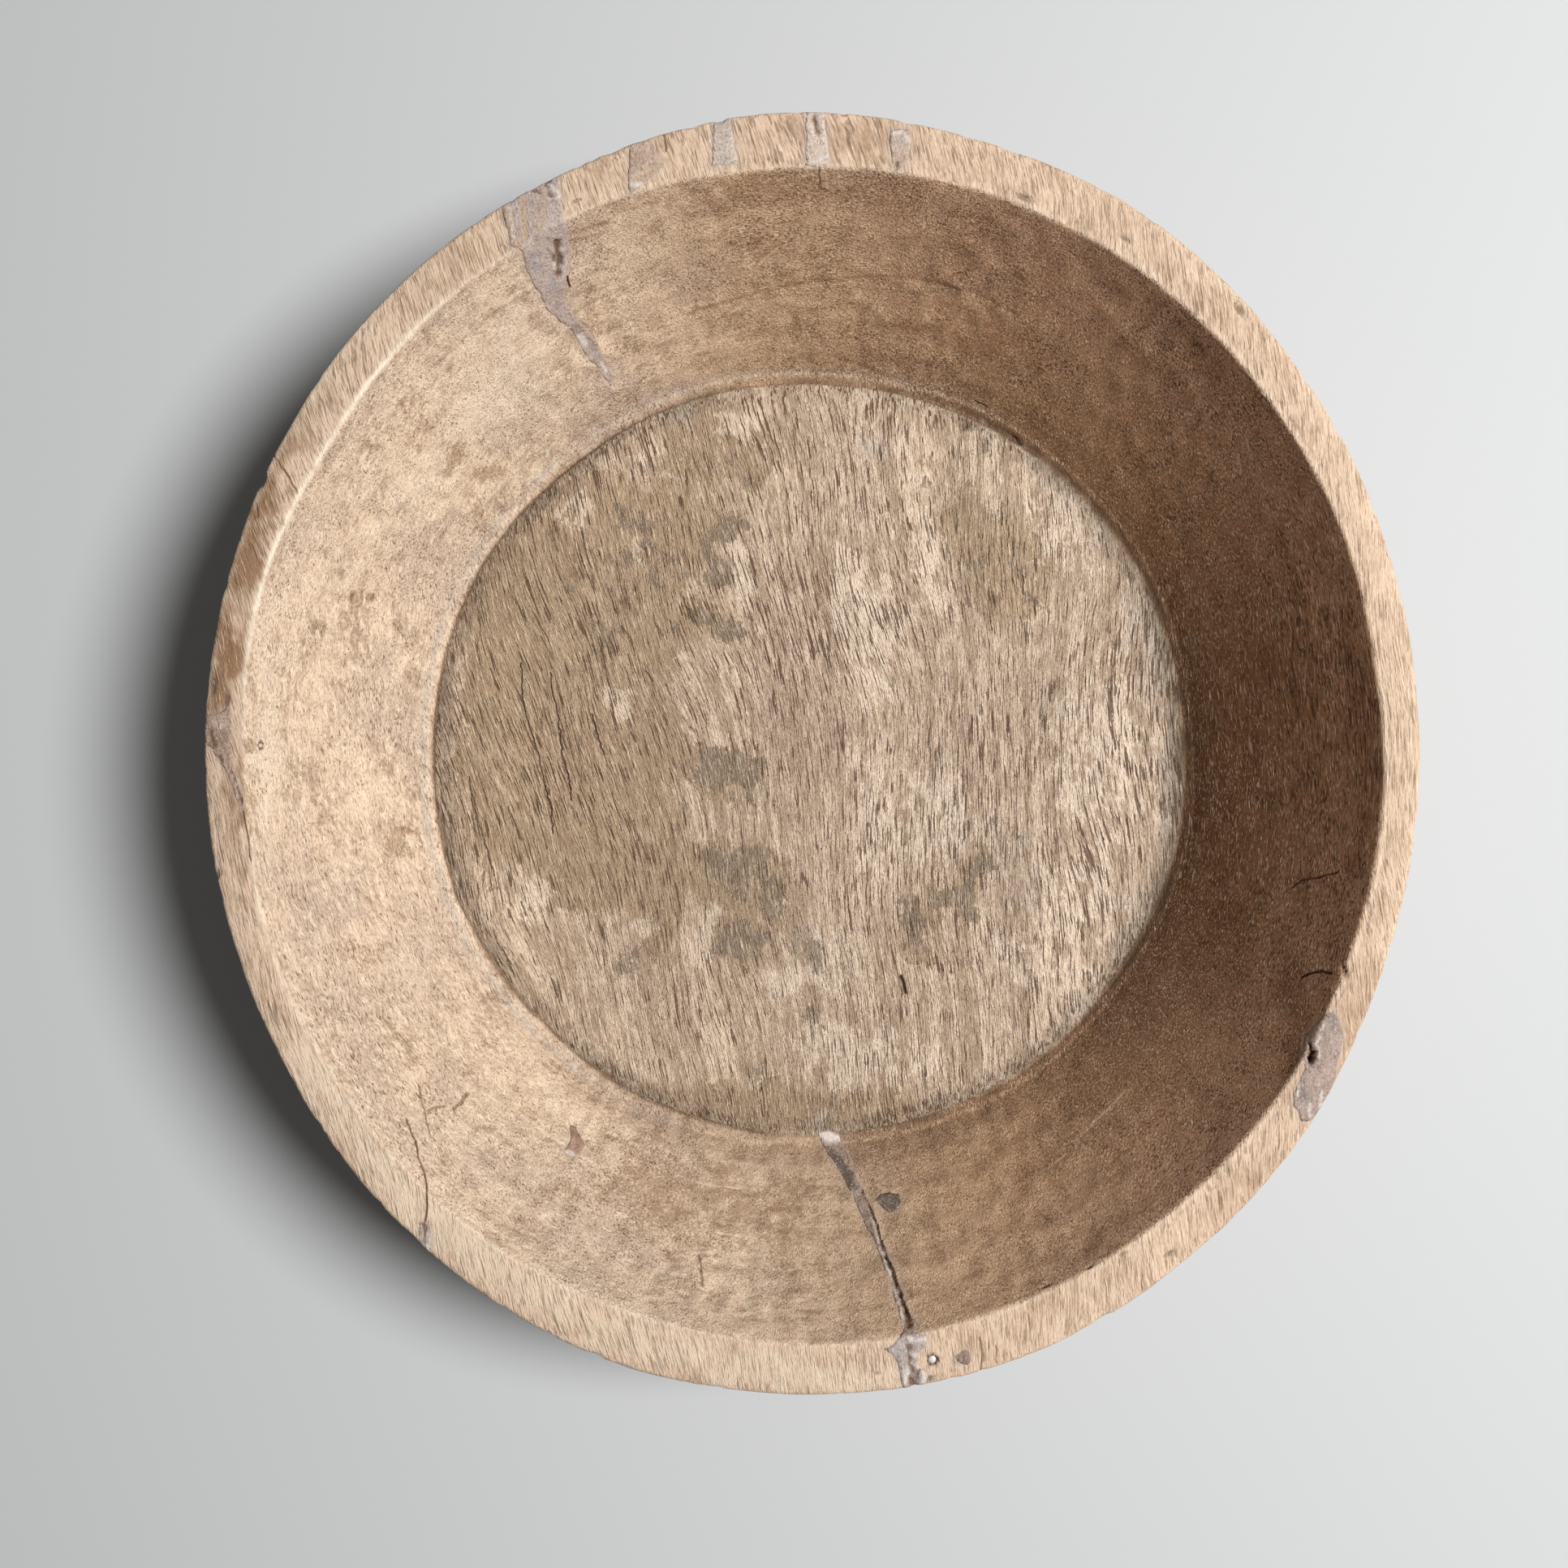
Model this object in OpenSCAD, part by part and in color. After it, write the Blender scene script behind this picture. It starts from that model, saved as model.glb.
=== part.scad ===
// Old dough bowl carved from one plank, with its splits, chips and nail holes filled.
// Lengths in millimetres. The origin is the middle of the base. +Y runs along the grain.

/* [Body] */
// Outside diameter of the rim along the grain
rim_long = 500; // [460:1:560]
// Outside diameter of the rim across the grain
rim_short = 473; // [455:1:520]
// Height from the base to the rim
height = 105; // [98:1:125]
// Diameter of the flat base along the grain
base_long = 350; // [310:1:380]
// Rounding between the base and the outer wall
base_round = 14; // [6:1:20]
// Swell of the outer wall past a straight slope
outer_swell = 6; // [2:0.5:9]

/* [Rim] */
// Width of the rim's land at the two end-grain ends
land_long = 20; // [16:0.5:26]
// Width of the rim's land at the two sides
land_short = 14; // [11:0.5:18]
// Rounding of the rim's outer edge
outer_edge_round = 2.5; // [1:0.5:4]
// Rounding of the rim's inner edge
inner_edge_round = 1.5; // [0.5:0.5:3]

/* [Hollow] */
// Thickness of the floor under the hollow
floor_thick = 20; // [12:1:28]
// Diameter of the floor along the grain
floor_long = 340; // [300:1:350]
// Hollowing of the inner wall past a straight slope
wall_hollow = 1.5; // [1:0.5:6]
// Width of the groove between the floor and the foot of the wall
groove_w = 6; // [4:0.5:9]
// Depth of the groove below the floor
groove_depth = 2; // [1:0.25:3.5]
// Radius of the floor's rolled edge
floor_roll = 2; // [1:0.25:3]

/* [Split fillers] */
// Width of the upper split's filler at the rim
upper_split_w = 27; // [18:0.5:32]
// Width of the lower split's filler at the foot of the wall
lower_split_w = 8; // [5:0.5:11]
// Width of the filler in the short crack at the lower left
corner_crack_w = 6; // [4:0.5:9]
// Depth of that crack's filler below the rim
corner_crack_depth = 16; // [8:1:24]

/* [Rim fillers] */
// Depth of the plugs and fillers let into the rim
inlay_depth = 9; // [5:0.5:14]
// Width of the four plugs in the upper rim, from left to right
plug_1_w = 7; // [5:0.5:9]
// Width of the second plug
plug_2_w = 10.5; // [7:0.5:13]
// Width of the third plug
plug_3_w = 10; // [7:0.5:13]
// Width of the fourth plug
plug_4_w = 8; // [6:0.5:11]
// Width of the filler where the lower split meets the rim
lower_rim_w = 18; // [12:0.5:18]
// Length of the filler along the right rim
right_rim_len = 50; // [35:1:60]
// Length of the filler along the left rim
left_rim_len = 34; // [24:1:42]
// Size of the heart-shaped plug beside the nail
dent_size = 6.5; // [4:0.25:8]

/* [Hole and wall patches] */
// Length of the open pit in the right rim's filler
pit_len = 8; // [5:0.5:10]
// Width of that pit
pit_w = 3; // [2:0.25:4]
// Depth of that pit
pit_depth = 5; // [3:0.5:7]
// Width of the grey patch low on the lower wall
spot_w = 9.5; // [6:0.5:12]
// Width of the small patch low on the left of the lower wall
chip_w = 5.5; // [4:0.5:8]
// Depth of both patches into the wall
patch_depth = 3; // [2:0.25:5]

/* [Nail and pin] */
// Diameter of the nail's head
nail_head_d = 3.4; // [2.5:0.1:4.5]
// Thickness of the nail's head
nail_head_h = 1.2; // [0.8:0.1:2]
// Diameter of the nail's shank
nail_shank_d = 1.8; // [1.2:0.1:2.2]
// Length of the nail below its head
nail_len = 14; // [8:1:16]
// Depth of the nail's head below the rim
nail_sink = 0.4; // [0:0.1:1]
// Diameter of the broken pin in the left wall
pin_d = 2.2; // [1.4:0.1:3]
// Length of the pin
pin_len = 10; // [6:1:12]

/* [Hidden] */
$fn = 256;

// Overrun of every cut past the face that it opens
cut_over = 4;
// Clearance round the driven nail and pin
driven_gap = 0.05;
// Steps of the long curves and of the small roundings
curve_steps = 8;
round_steps = 4;
// Angles, in degrees: a quarter turn, and where the floor's rolled edge ends above level
quarter_turn = 90;
roll_end_at = 20;
// Place of the groove's bottom, as a share of the groove's width from the floor's edge
groove_low_share = 0.33;

// Radii along the grain, the level of the floor and the depth of the hollow
rim_r = rim_long / 2;
base_r = base_long / 2;
mouth_r = rim_r - land_long;
floor_r = floor_long / 2;
foot_r = floor_r + groove_w;
floor_z = floor_thick;
hollow_depth = height - floor_thick;

// Shares that narrow the round forms across the grain
outer_oval_share = rim_short / rim_long;
inner_oval_share = (rim_short - 2 * land_short) / (rim_long - 2 * land_long);

// Angles of the repairs round the bowl, from +X towards +Y
upper_split_at = 117.6;
lower_split_at = 277;
lower_rim_at = 279;
corner_crack_at = 231.2;
plug_1_at = 106;
plug_2_at = 98.4;
plug_3_at = 89.6;
plug_4_at = 82;
right_rim_at = 329.5;
left_rim_at = 176.5;
dent_at = 283.9;
spot_at = 280.2;
chip_at = 238.1;
nail_at = 281.1;
pin_at = 179.1;

// Outlines of the splits: share of the way from the floor's edge to the rim's outer edge,
// then sideways as a share of the split's width. The last points run past the rim.
upper_split_shares = [
    [0.14, -0.01], [0.35, 0.03], [0.50, 0.16], [0.59, -0.03], [0.66, -0.26], [0.76, -0.43], [1.1, -0.74],
    [1.1, 0.27], [0.77, 0.43], [0.70, 0.37], [0.60, 0.42], [0.53, 0.48], [0.37, 0.28], [0.17, 0.19]
];
lower_split_shares = [
    [0.02, -0.99], [0.26, -0.04], [0.43, 0.71], [0.60, 1.24], [0.74, 1.40], [1.1, 1.10],
    [1.1, 0.55], [0.74, 0.90], [0.60, 0.66], [0.43, 0.13], [0.26, -1.08], [0.02, -2.0]
];

// Outlines on the rim: share of the way across the land from its inner edge, then sideways
// as a share of the piece's width. Points past 0 and 1 end flush with the wall or the rim.
corner_crack_shares = [[0.15, -1.05], [0.45, -0.35], [0.90, 0.75], [1.4, 0.9], [1.4, -0.2], [0.58, -0.85]];
plug_1_shares = [[1.4, 0.35], [1.4, -0.35], [0.35, -0.5], [0.12, 0.5]];
plug_2_shares = [[1.4, 0.28], [1.4, -0.28], [0.3, -0.5], [0.1, -0.25], [0.1, 0.3], [0.35, 0.5]];
plug_3_shares = [[1.4, 0.33], [1.4, -0.33], [0.2, -0.5], [0.04, -0.35], [0.02, 0.1], [0.3, 0.5]];
plug_4_shares = [[0.76, 0.5], [0.76, -0.5], [0.26, -0.5], [-0.4, 0.05], [0.3, 0.45]];
lower_rim_shares = [
    [0.15, -0.58], [-0.3, 0.0], [-0.3, 0.36], [0.10, 0.42], [0.28, 0.25], [0.5, 0.12], [0.7, 0.2],
    [0.92, 0.24], [1.4, 0.14], [1.4, -0.24], [0.62, -0.27], [0.30, -0.33]
];
right_rim_shares = [
    [0.15, 0.49], [0.31, 0.24], [0.55, 0.03], [0.65, -0.16], [0.57, -0.48], [0.1, -0.40],
    [-0.4, -0.1], [-0.5, 0.2], [-0.2, 0.45]
];
left_rim_shares = [
    [0.87, -0.46], [0.43, -0.33], [0.27, 0.13], [0.12, 0.54], [0.30, 0.5], [0.75, 0.34],
    [1.4, 0.06], [1.4, -0.25]
];
dent_shares = [[0.55, 0.5], [0.46, 0.25], [0.54, 0.0], [0.45, -0.25], [0.58, -0.5], [0.76, -0.05]];
nail_land_share = 0.52;
pit_land_share = 0.16;

// Heights of the wall's patches and pin, as shares of the depth of the hollow below the rim
spot_depth_share = 0.67;
chip_depth_share = 0.70;
pin_depth_share = 0.13;
// Outlines of the patches along the slope and across it, as shares of their width
spot_shares = [[-0.4, -0.45], [-0.3, 0.45], [0.2, 0.55], [0.5, 0.1], [0.35, -0.2]];
chip_shares = [[-1, 0.1], [-0.4, 0.5], [0.5, 0.4], [1, 0.0], [0.3, -0.5], [-0.5, -0.4]];

// Points from p to q along a line bowed to its right by bow
function bowed(p, q, bow) =
    let (along = q - p, side = [along.y, -along.x] / norm(along))
    [for (i = [0 : curve_steps]) let (t = i / curve_steps) p + along * t + side * 4 * bow * t * (1 - t)];

// Points of an arc round c, from one angle to another
function arc(c, r, from, to) =
    [for (i = [0 : round_steps]) let (a = from + (to - from) * i / round_steps) c + r * [cos(a), sin(a)]];

// Point of an oval at an angle
function oval(r, oval_share, at) = [r * oval_share * cos(at), r * sin(at)];
function rim_point(at) = oval(rim_r, outer_oval_share, at);
function mouth_point(at) = oval(mouth_r, inner_oval_share, at);
function floor_point(at) = oval(floor_r, inner_oval_share, at);

// Direction round the rim at an angle
function sideways(at) = let (d = rim_point(at) - floor_point(at)) [-d.y, d.x] / norm(d);

// Plan of an outline between two ovals, given in shares of the way out and of a width
function plan(inner, outer, at, w, shares) =
    [for (s = shares) inner + (outer - inner) * s[0] + sideways(at) * w * s[1]];

// Slope of the inner wall's chord from its foot to the mouth, at an angle round the bowl
function wall_run(at) = norm(mouth_point(at)) - norm(oval(foot_r, inner_oval_share, at));
function wall_pitch(at) = atan2(hollow_depth, wall_run(at));

// Half section of the outside, from the base to the rim
outer_pitch = atan2(height, rim_r - base_r);
outer_corner = arc([base_r, base_round], base_round, -quarter_turn, outer_pitch - quarter_turn);
outer_section = concat(
    [[0, -cut_over], [base_r, -cut_over]],
    outer_corner,
    bowed(outer_corner[round_steps], [rim_r, height - outer_edge_round], outer_swell),
    arc([rim_r - outer_edge_round, height - outer_edge_round], outer_edge_round, 0, quarter_turn),
    [[0, height]]
);

// Half section of the hollow: floor, rolled edge, groove, wall and the eased mouth
groove_z = floor_z - groove_depth;
roll_end = arc([floor_r - floor_roll, floor_z - floor_roll], floor_roll, quarter_turn, roll_end_at);
mouth_ease = arc(
    [mouth_r + inner_edge_round, height - inner_edge_round],
    inner_edge_round,
    2 * quarter_turn,
    quarter_turn
);
hollow_section = concat(
    [[0, floor_z]],
    roll_end,
    [[floor_r + groove_w * groove_low_share, groove_z]],
    bowed([foot_r, floor_z], mouth_ease[0], wall_hollow),
    mouth_ease,
    [[mouth_r + inner_edge_round, height + cut_over], [0, height + cut_over]]
);

// The bowl before its repairs: an oval body with an oval hollow
module outside_form() {
    difference() {
        scale([outer_oval_share, 1, 1]) rotate_extrude() polygon(outer_section);
        translate([-rim_r, -rim_r, -2 * cut_over]) cube([rim_long, rim_long, 2 * cut_over]);
    }
}

module hollow_form() {
    scale([inner_oval_share, 1, 1]) rotate_extrude() polygon(hollow_section);
}

module blank() {
    difference() {
        outside_form();
        hollow_form();
    }
}

// Upright cut through the wall, from the level of the floor to above the rim
module split_cut(at, w, shares) {
    translate([0, 0, floor_z])
        linear_extrude(hollow_depth + cut_over)
            polygon(plan(floor_point(at), rim_point(at), at, w, shares));
}

// Upright cut into the rim
module rim_cut(at, w, depth, shares) {
    translate([0, 0, height - depth])
        linear_extrude(depth + cut_over)
            polygon(plan(mouth_point(at), rim_point(at), at, w, shares));
}

// Places its children on the inner wall, with +Z out of the wooden face and +X up the slope
module on_wall(at, depth_share) {
    pitch = wall_pitch(at);
    chord = mouth_point(at) * (1 - depth_share) + oval(foot_r, inner_oval_share, at) * depth_share;
    bow = 4 * wall_hollow * depth_share * (1 - depth_share);
    out = chord / norm(chord);
    place = chord + out * bow * sin(pitch);
    translate([place.x, place.y, height - hollow_depth * depth_share - bow * cos(pitch)])
        rotate([0, 0, atan2(out.y, out.x)])
            rotate([0, -pitch, 0])
                children();
}

// Cut into the inner wall, square to its face
module patch_cut(at, depth_share, w, shares) {
    on_wall(at, depth_share)
        translate([0, 0, -patch_depth])
            linear_extrude(patch_depth + cut_over)
                polygon(w * shares);
}

module upper_split_cut() split_cut(upper_split_at, upper_split_w, upper_split_shares);
module lower_split_cut() split_cut(lower_split_at, lower_split_w, lower_split_shares);
module lower_rim_cut() rim_cut(lower_rim_at, lower_rim_w, inlay_depth, lower_rim_shares);
module corner_crack_cut() rim_cut(corner_crack_at, corner_crack_w, corner_crack_depth, corner_crack_shares);
module plug_1_cut() rim_cut(plug_1_at, plug_1_w, inlay_depth, plug_1_shares);
module plug_2_cut() rim_cut(plug_2_at, plug_2_w, inlay_depth, plug_2_shares);
module plug_3_cut() rim_cut(plug_3_at, plug_3_w, inlay_depth, plug_3_shares);
module plug_4_cut() rim_cut(plug_4_at, plug_4_w, inlay_depth, plug_4_shares);
module right_rim_cut() rim_cut(right_rim_at, right_rim_len, inlay_depth, right_rim_shares);
module left_rim_cut() rim_cut(left_rim_at, left_rim_len, inlay_depth, left_rim_shares);
module dent_cut() rim_cut(dent_at, dent_size, inlay_depth, dent_shares);
module spot_cut() patch_cut(spot_at, spot_depth_share, spot_w, spot_shares);
module chip_cut() patch_cut(chip_at, chip_depth_share, chip_w, chip_shares);

// Places its children on top of the rim, at a share of the way across the land
module on_land(at, land_share) {
    place = mouth_point(at) + (rim_point(at) - mouth_point(at)) * land_share;
    translate([place.x, place.y, height]) rotate([0, 0, at]) children();
}

// Driven nail, or the hole that it makes when a gap is given
module nail_form(gap) {
    head_r = nail_head_d / 2 + gap;
    shank_r = nail_shank_d / 2 + gap;
    head_z = -nail_sink - nail_head_h;
    on_land(nail_at, nail_land_share) {
        translate([0, 0, head_z - gap]) cylinder(r = head_r, h = gap > 0 ? cut_over - head_z : nail_head_h);
        translate([0, 0, head_z - nail_len - gap]) cylinder(r = shank_r, h = nail_len + gap);
    }
}

// Broken pin, or its hole when a gap is given
module pin_form(gap) {
    on_wall(pin_at, pin_depth_share)
        translate([0, 0, -pin_len - gap])
            cylinder(d = pin_d + 2 * gap, h = gap > 0 ? pin_len + cut_over : pin_len);
}

// Open pit that was left in the right rim's filler
module pit_cut() {
    on_land(right_rim_at, pit_land_share)
        translate([0, 0, -pit_depth])
            scale([pit_w / pit_len, 1, 1])
                cylinder(d = pit_len, h = pit_depth + cut_over);
}

module bowl_body() {
    color("burlywood") difference() {
        blank();
        upper_split_cut();
        lower_split_cut();
        lower_rim_cut();
        corner_crack_cut();
        plug_1_cut();
        plug_2_cut();
        plug_3_cut();
        plug_4_cut();
        right_rim_cut();
        left_rim_cut();
        dent_cut();
        spot_cut();
        chip_cut();
        nail_form(driven_gap);
        pin_form(driven_gap);
    }
}

// A filler takes the shape of its cut and ends flush with the wood round it
module flush() {
    intersection() {
        blank();
        children();
    }
}

module upper_split_filler() { color("rosybrown") flush() upper_split_cut(); }
module lower_split_filler() {
    color("gray") difference() {
        flush() lower_split_cut();
        lower_rim_cut();
    }
}
module lower_rim_filler() { color("thistle") flush() lower_rim_cut(); }
module corner_crack_filler() { color("thistle") flush() corner_crack_cut(); }
module rim_plug_1() { color("rosybrown") flush() plug_1_cut(); }
module rim_plug_2() { color("rosybrown") flush() plug_2_cut(); }
module rim_plug_3() { color("rosybrown") flush() plug_3_cut(); }
module rim_plug_4() { color("rosybrown") flush() plug_4_cut(); }
module right_rim_filler() {
    color("rosybrown") difference() {
        flush() right_rim_cut();
        pit_cut();
    }
}
module left_rim_filler() { color("gray") flush() left_rim_cut(); }
module rim_dent_plug() { color("sienna") flush() dent_cut(); }
module wall_spot_filler() { color("dimgray") flush() spot_cut(); }
module wall_chip_filler() { color("rosybrown") flush() chip_cut(); }
module rim_nail() { color("silver") nail_form(0); }
module wall_pin() { color("silver") pin_form(0); }

bowl_body();
upper_split_filler();
lower_split_filler();
lower_rim_filler();
corner_crack_filler();
rim_plug_1();
rim_plug_2();
rim_plug_3();
rim_plug_4();
right_rim_filler();
left_rim_filler();
rim_dent_plug();
wall_spot_filler();
wall_chip_filler();
rim_nail();
wall_pin();
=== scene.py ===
"""Old carved dough bowl with its splits, chips and nail holes filled, seen from straight above."""
import bisect
import math
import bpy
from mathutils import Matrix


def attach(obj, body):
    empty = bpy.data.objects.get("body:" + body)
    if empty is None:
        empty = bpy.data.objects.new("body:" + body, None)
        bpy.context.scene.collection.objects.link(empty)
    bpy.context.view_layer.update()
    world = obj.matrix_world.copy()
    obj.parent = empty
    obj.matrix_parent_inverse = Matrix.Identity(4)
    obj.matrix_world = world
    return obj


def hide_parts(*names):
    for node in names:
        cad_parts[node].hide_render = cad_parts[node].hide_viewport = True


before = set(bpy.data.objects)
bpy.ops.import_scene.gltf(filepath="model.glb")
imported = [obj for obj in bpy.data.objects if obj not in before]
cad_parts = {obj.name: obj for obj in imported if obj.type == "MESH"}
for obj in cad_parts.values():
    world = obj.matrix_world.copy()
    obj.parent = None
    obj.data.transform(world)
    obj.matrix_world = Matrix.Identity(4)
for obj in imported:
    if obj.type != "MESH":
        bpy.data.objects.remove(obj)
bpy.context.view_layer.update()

from types import SimpleNamespace

import bmesh
import bpy
import numpy as np
from mathutils import Vector
from mathutils.geometry import delaunay_2d_cdt

# Lengths are millimetres until a mesh is written.
MM = 0.001
SEED = 20
TURN = 2 * math.pi

# The photograph: pixels of its rim plane, and the camera straight above the bowl.
PHOTO_CENTRE = (1001.5, 929.5)
MM_PER_PX = 0.31506
CAMERA_XY = (-11.2, -11.5)
CAMERA_RISE = 592.0
CAMERA_LENS = 35.0
CAMERA_SENSOR = 36.0
CAMERA_NEAR = 10.0

# Heights and radii of the bowl.
HEIGHT = 105.0
FLOOR_Z = 20.0
FLOOR_R = 166.0
GROOVE_W = 6.0
GROOVE_DEPTH = 2.0
# Share of the groove's width at which it is deepest.
GROOVE_LOW = 0.38
EDGE_ROLL, EDGE_ROLL_W = 0.9, 8.0
RIM_MEAN, RIM_OVAL = 243.2, 6.62
MOUTH_MEAN, MOUTH_OVAL = 225.9, 3.47
WALL_BOW = 1.5
INNER_EASE = 1.7
OUTER_EASE = 2.7
LAND_CROWN = 0.35
# Drop of the rim's top below the full height, and the share of its wander.
RIM_SINK, RIM_SWAY = 0.4, 0.4
OUTER_BOW = 6.0
BASE_R, BASE_KNEE, BASE_TOP_R, BASE_TOP_Z = 175.0, 182.2, 186.4, 5.87
RIM_LONG_R = 250.0
POLE_R = 3.0

# Way along the half section, from the middle of the floor over the rim to the middle of the base.
V_FLOOR = 166.0
V_FOOT = 174.0
V_MOUTH = 281.0
V_LAND = 284.5
V_OUTER = 301.0
V_SIDE = 305.0
V_CORNER = 427.0
V_BASE = 441.0
V_END = 612.0


def portion(value, start, end):
    """How much of the way from start to end has been gone, from 0 to 1."""
    return np.clip((value - start) / (end - start), 0.0, 1.0)


def ease(value, low, high):
    """Smooth step from 0 at low to 1 at high."""
    t = portion(value, low, high)
    return t * t * (3.0 - 2.0 * t)


def ridge(v, at, width):
    """Rounded bump of height 1 at a way along the section."""
    return np.exp(-(((v - at) / width) ** 2))


def facing(theta, degrees, low, high):
    """Smooth step over the cosine of the turn away from a direction."""
    return ease(np.cos(theta - math.radians(degrees)), low, high)


def wrap(angle):
    """Angle brought to half a turn either side of zero."""
    return (angle + math.pi) % TURN - math.pi


def lattice(ix, iy, iz, seed):
    """Fixed pseudo-random numbers from 0 to 1 at whole-number places."""
    mask = 0xFFFFFFFF
    h = (ix * 374761393 + iy * 668265263 + iz * 1103515245 + seed * 974634777) & mask
    h = ((h ^ (h >> 13)) * 1274126177) & mask
    h = ((h ^ (h >> 16)) * 668265263) & mask
    return ((h ^ (h >> 15)) & 0xFFFFFF) / 0xFFFFFF


def noise(points, size, seed):
    """Smooth noise from -1 to 1; size is one length or one for each axis."""
    p = points / np.asarray(size, float)
    cell = np.floor(p).astype(np.int64)
    f = p - cell
    f = f * f * f * (f * (f * 6.0 - 15.0) + 10.0)
    total = np.zeros(len(p))
    for corner in range(8):
        step = np.array([corner & 1, corner >> 1 & 1, corner >> 2 & 1])
        weight = np.prod(np.where(step, f, 1.0 - f), axis=1)
        total += weight * lattice(*(cell + step).T, SEED + seed)
    return total * 2.0 - 1.0


def rough_noise(points, size, seed, octaves=3):
    """Noise with finer noise on it."""
    total = np.zeros(len(points))
    for i in range(octaves):
        total += noise(points, np.asarray(size, float) / 2**i, seed + 17 * i) / 1.9**i
    return total / 1.6


# Gouge marks: scatter of their middles, steepness and roundness of the ridges between them.
GOUGE_SCATTER, GOUGE_STEEP, GOUGE_ROUND = 0.7, 1.6, 0.7


def gouges(theta, v, columns, length, seed):
    """Depth from 0 to 1 of overlapping gouge marks: 0 on the ridges between them."""
    gx = theta % TURN / TURN * columns
    gy = v / length
    ix, iy = np.floor(gx).astype(np.int64), np.floor(gy).astype(np.int64)
    first = np.full(len(gx), 9.0)
    second = np.full(len(gx), 9.0)
    for dx in (-1, 0, 1):
        for dy in (-1, 0, 1):
            cx, cy = (ix + dx) % columns, iy + dy
            px = ix + dx + 0.5 + GOUGE_SCATTER * (lattice(cx, cy, 0 * cx, SEED + seed) - 0.5)
            py = cy + 0.5 + GOUGE_SCATTER * (lattice(cx, cy, 0 * cx + 1, SEED + seed) - 0.5)
            far = np.hypot(gx - px, gy - py)
            second = np.where(far < first, first, np.minimum(second, far))
            first = np.minimum(first, far)
    return np.clip((second - first) * GOUGE_STEEP, 0.0, 1.0) ** GOUGE_ROUND


def waves(count, size, seed):
    """Seeded amplitudes and phases of a slow wander round the bowl."""
    rng = np.random.default_rng(SEED + seed)
    orders = np.arange(3, 3 + count)
    return orders, size * rng.uniform(0.4, 1.0, count) / np.sqrt(orders), rng.uniform(0, TURN, count)


RIM_WANDER = waves(9, 0.65, 1)
MOUTH_WANDER = waves(11, 0.75, 2)
FLOOR_WANDER = waves(8, 0.9, 3)
GROOVE_WANDER = waves(16, 0.55, 4)
LAND_WANDER = waves(7, 0.3, 5)


def wander(theta, wave):
    """Slow wander at the angles, in millimetres."""
    orders, sizes, phases = wave
    return (sizes[:, None] * np.cos(orders[:, None] * theta[None, :] + phases[:, None])).sum(axis=0)


def rim_radius(theta):
    """Radius of the rim's outer edge."""
    return RIM_MEAN + RIM_OVAL * np.cos(2 * theta - math.pi) + wander(theta, RIM_WANDER)


def mouth_radius(theta):
    """Radius of the mouth, where the wall meets the rim."""
    return MOUTH_MEAN + MOUTH_OVAL * np.cos(2 * theta - math.pi) + wander(theta, MOUTH_WANDER)


def curve(t, a, b, c):
    """Point of a quadratic curve from a to c that is drawn towards b."""
    return [(1 - t) ** 2 * p + 2 * t * (1 - t) * q + t * t * r for p, q, r in zip(a, b, c)]


def bowed(t, a, b, bow):
    """Point on the line from a to b, bowed to its right."""
    dr, dz = b[0] - a[0], b[1] - a[1]
    size = np.hypot(dr, dz)
    lift = 4.0 * bow * t * (1.0 - t)
    return [a[0] + dr * t + lift * dz / size, a[1] + dz * t - lift * dr / size]


def floor_dip(theta, v):
    """Depth of the groove under the floor, from the floor's rolled edge to the foot of the wall."""
    t = portion(v, V_FLOOR, V_FOOT)
    low = GROOVE_DEPTH + wander(theta, GROOVE_WANDER)
    down = EDGE_ROLL + (low - EDGE_ROLL) * ease(t, 0.0, GROOVE_LOW)
    return down * (1.0 - ease(t, GROOVE_LOW, 1.0))


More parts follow.
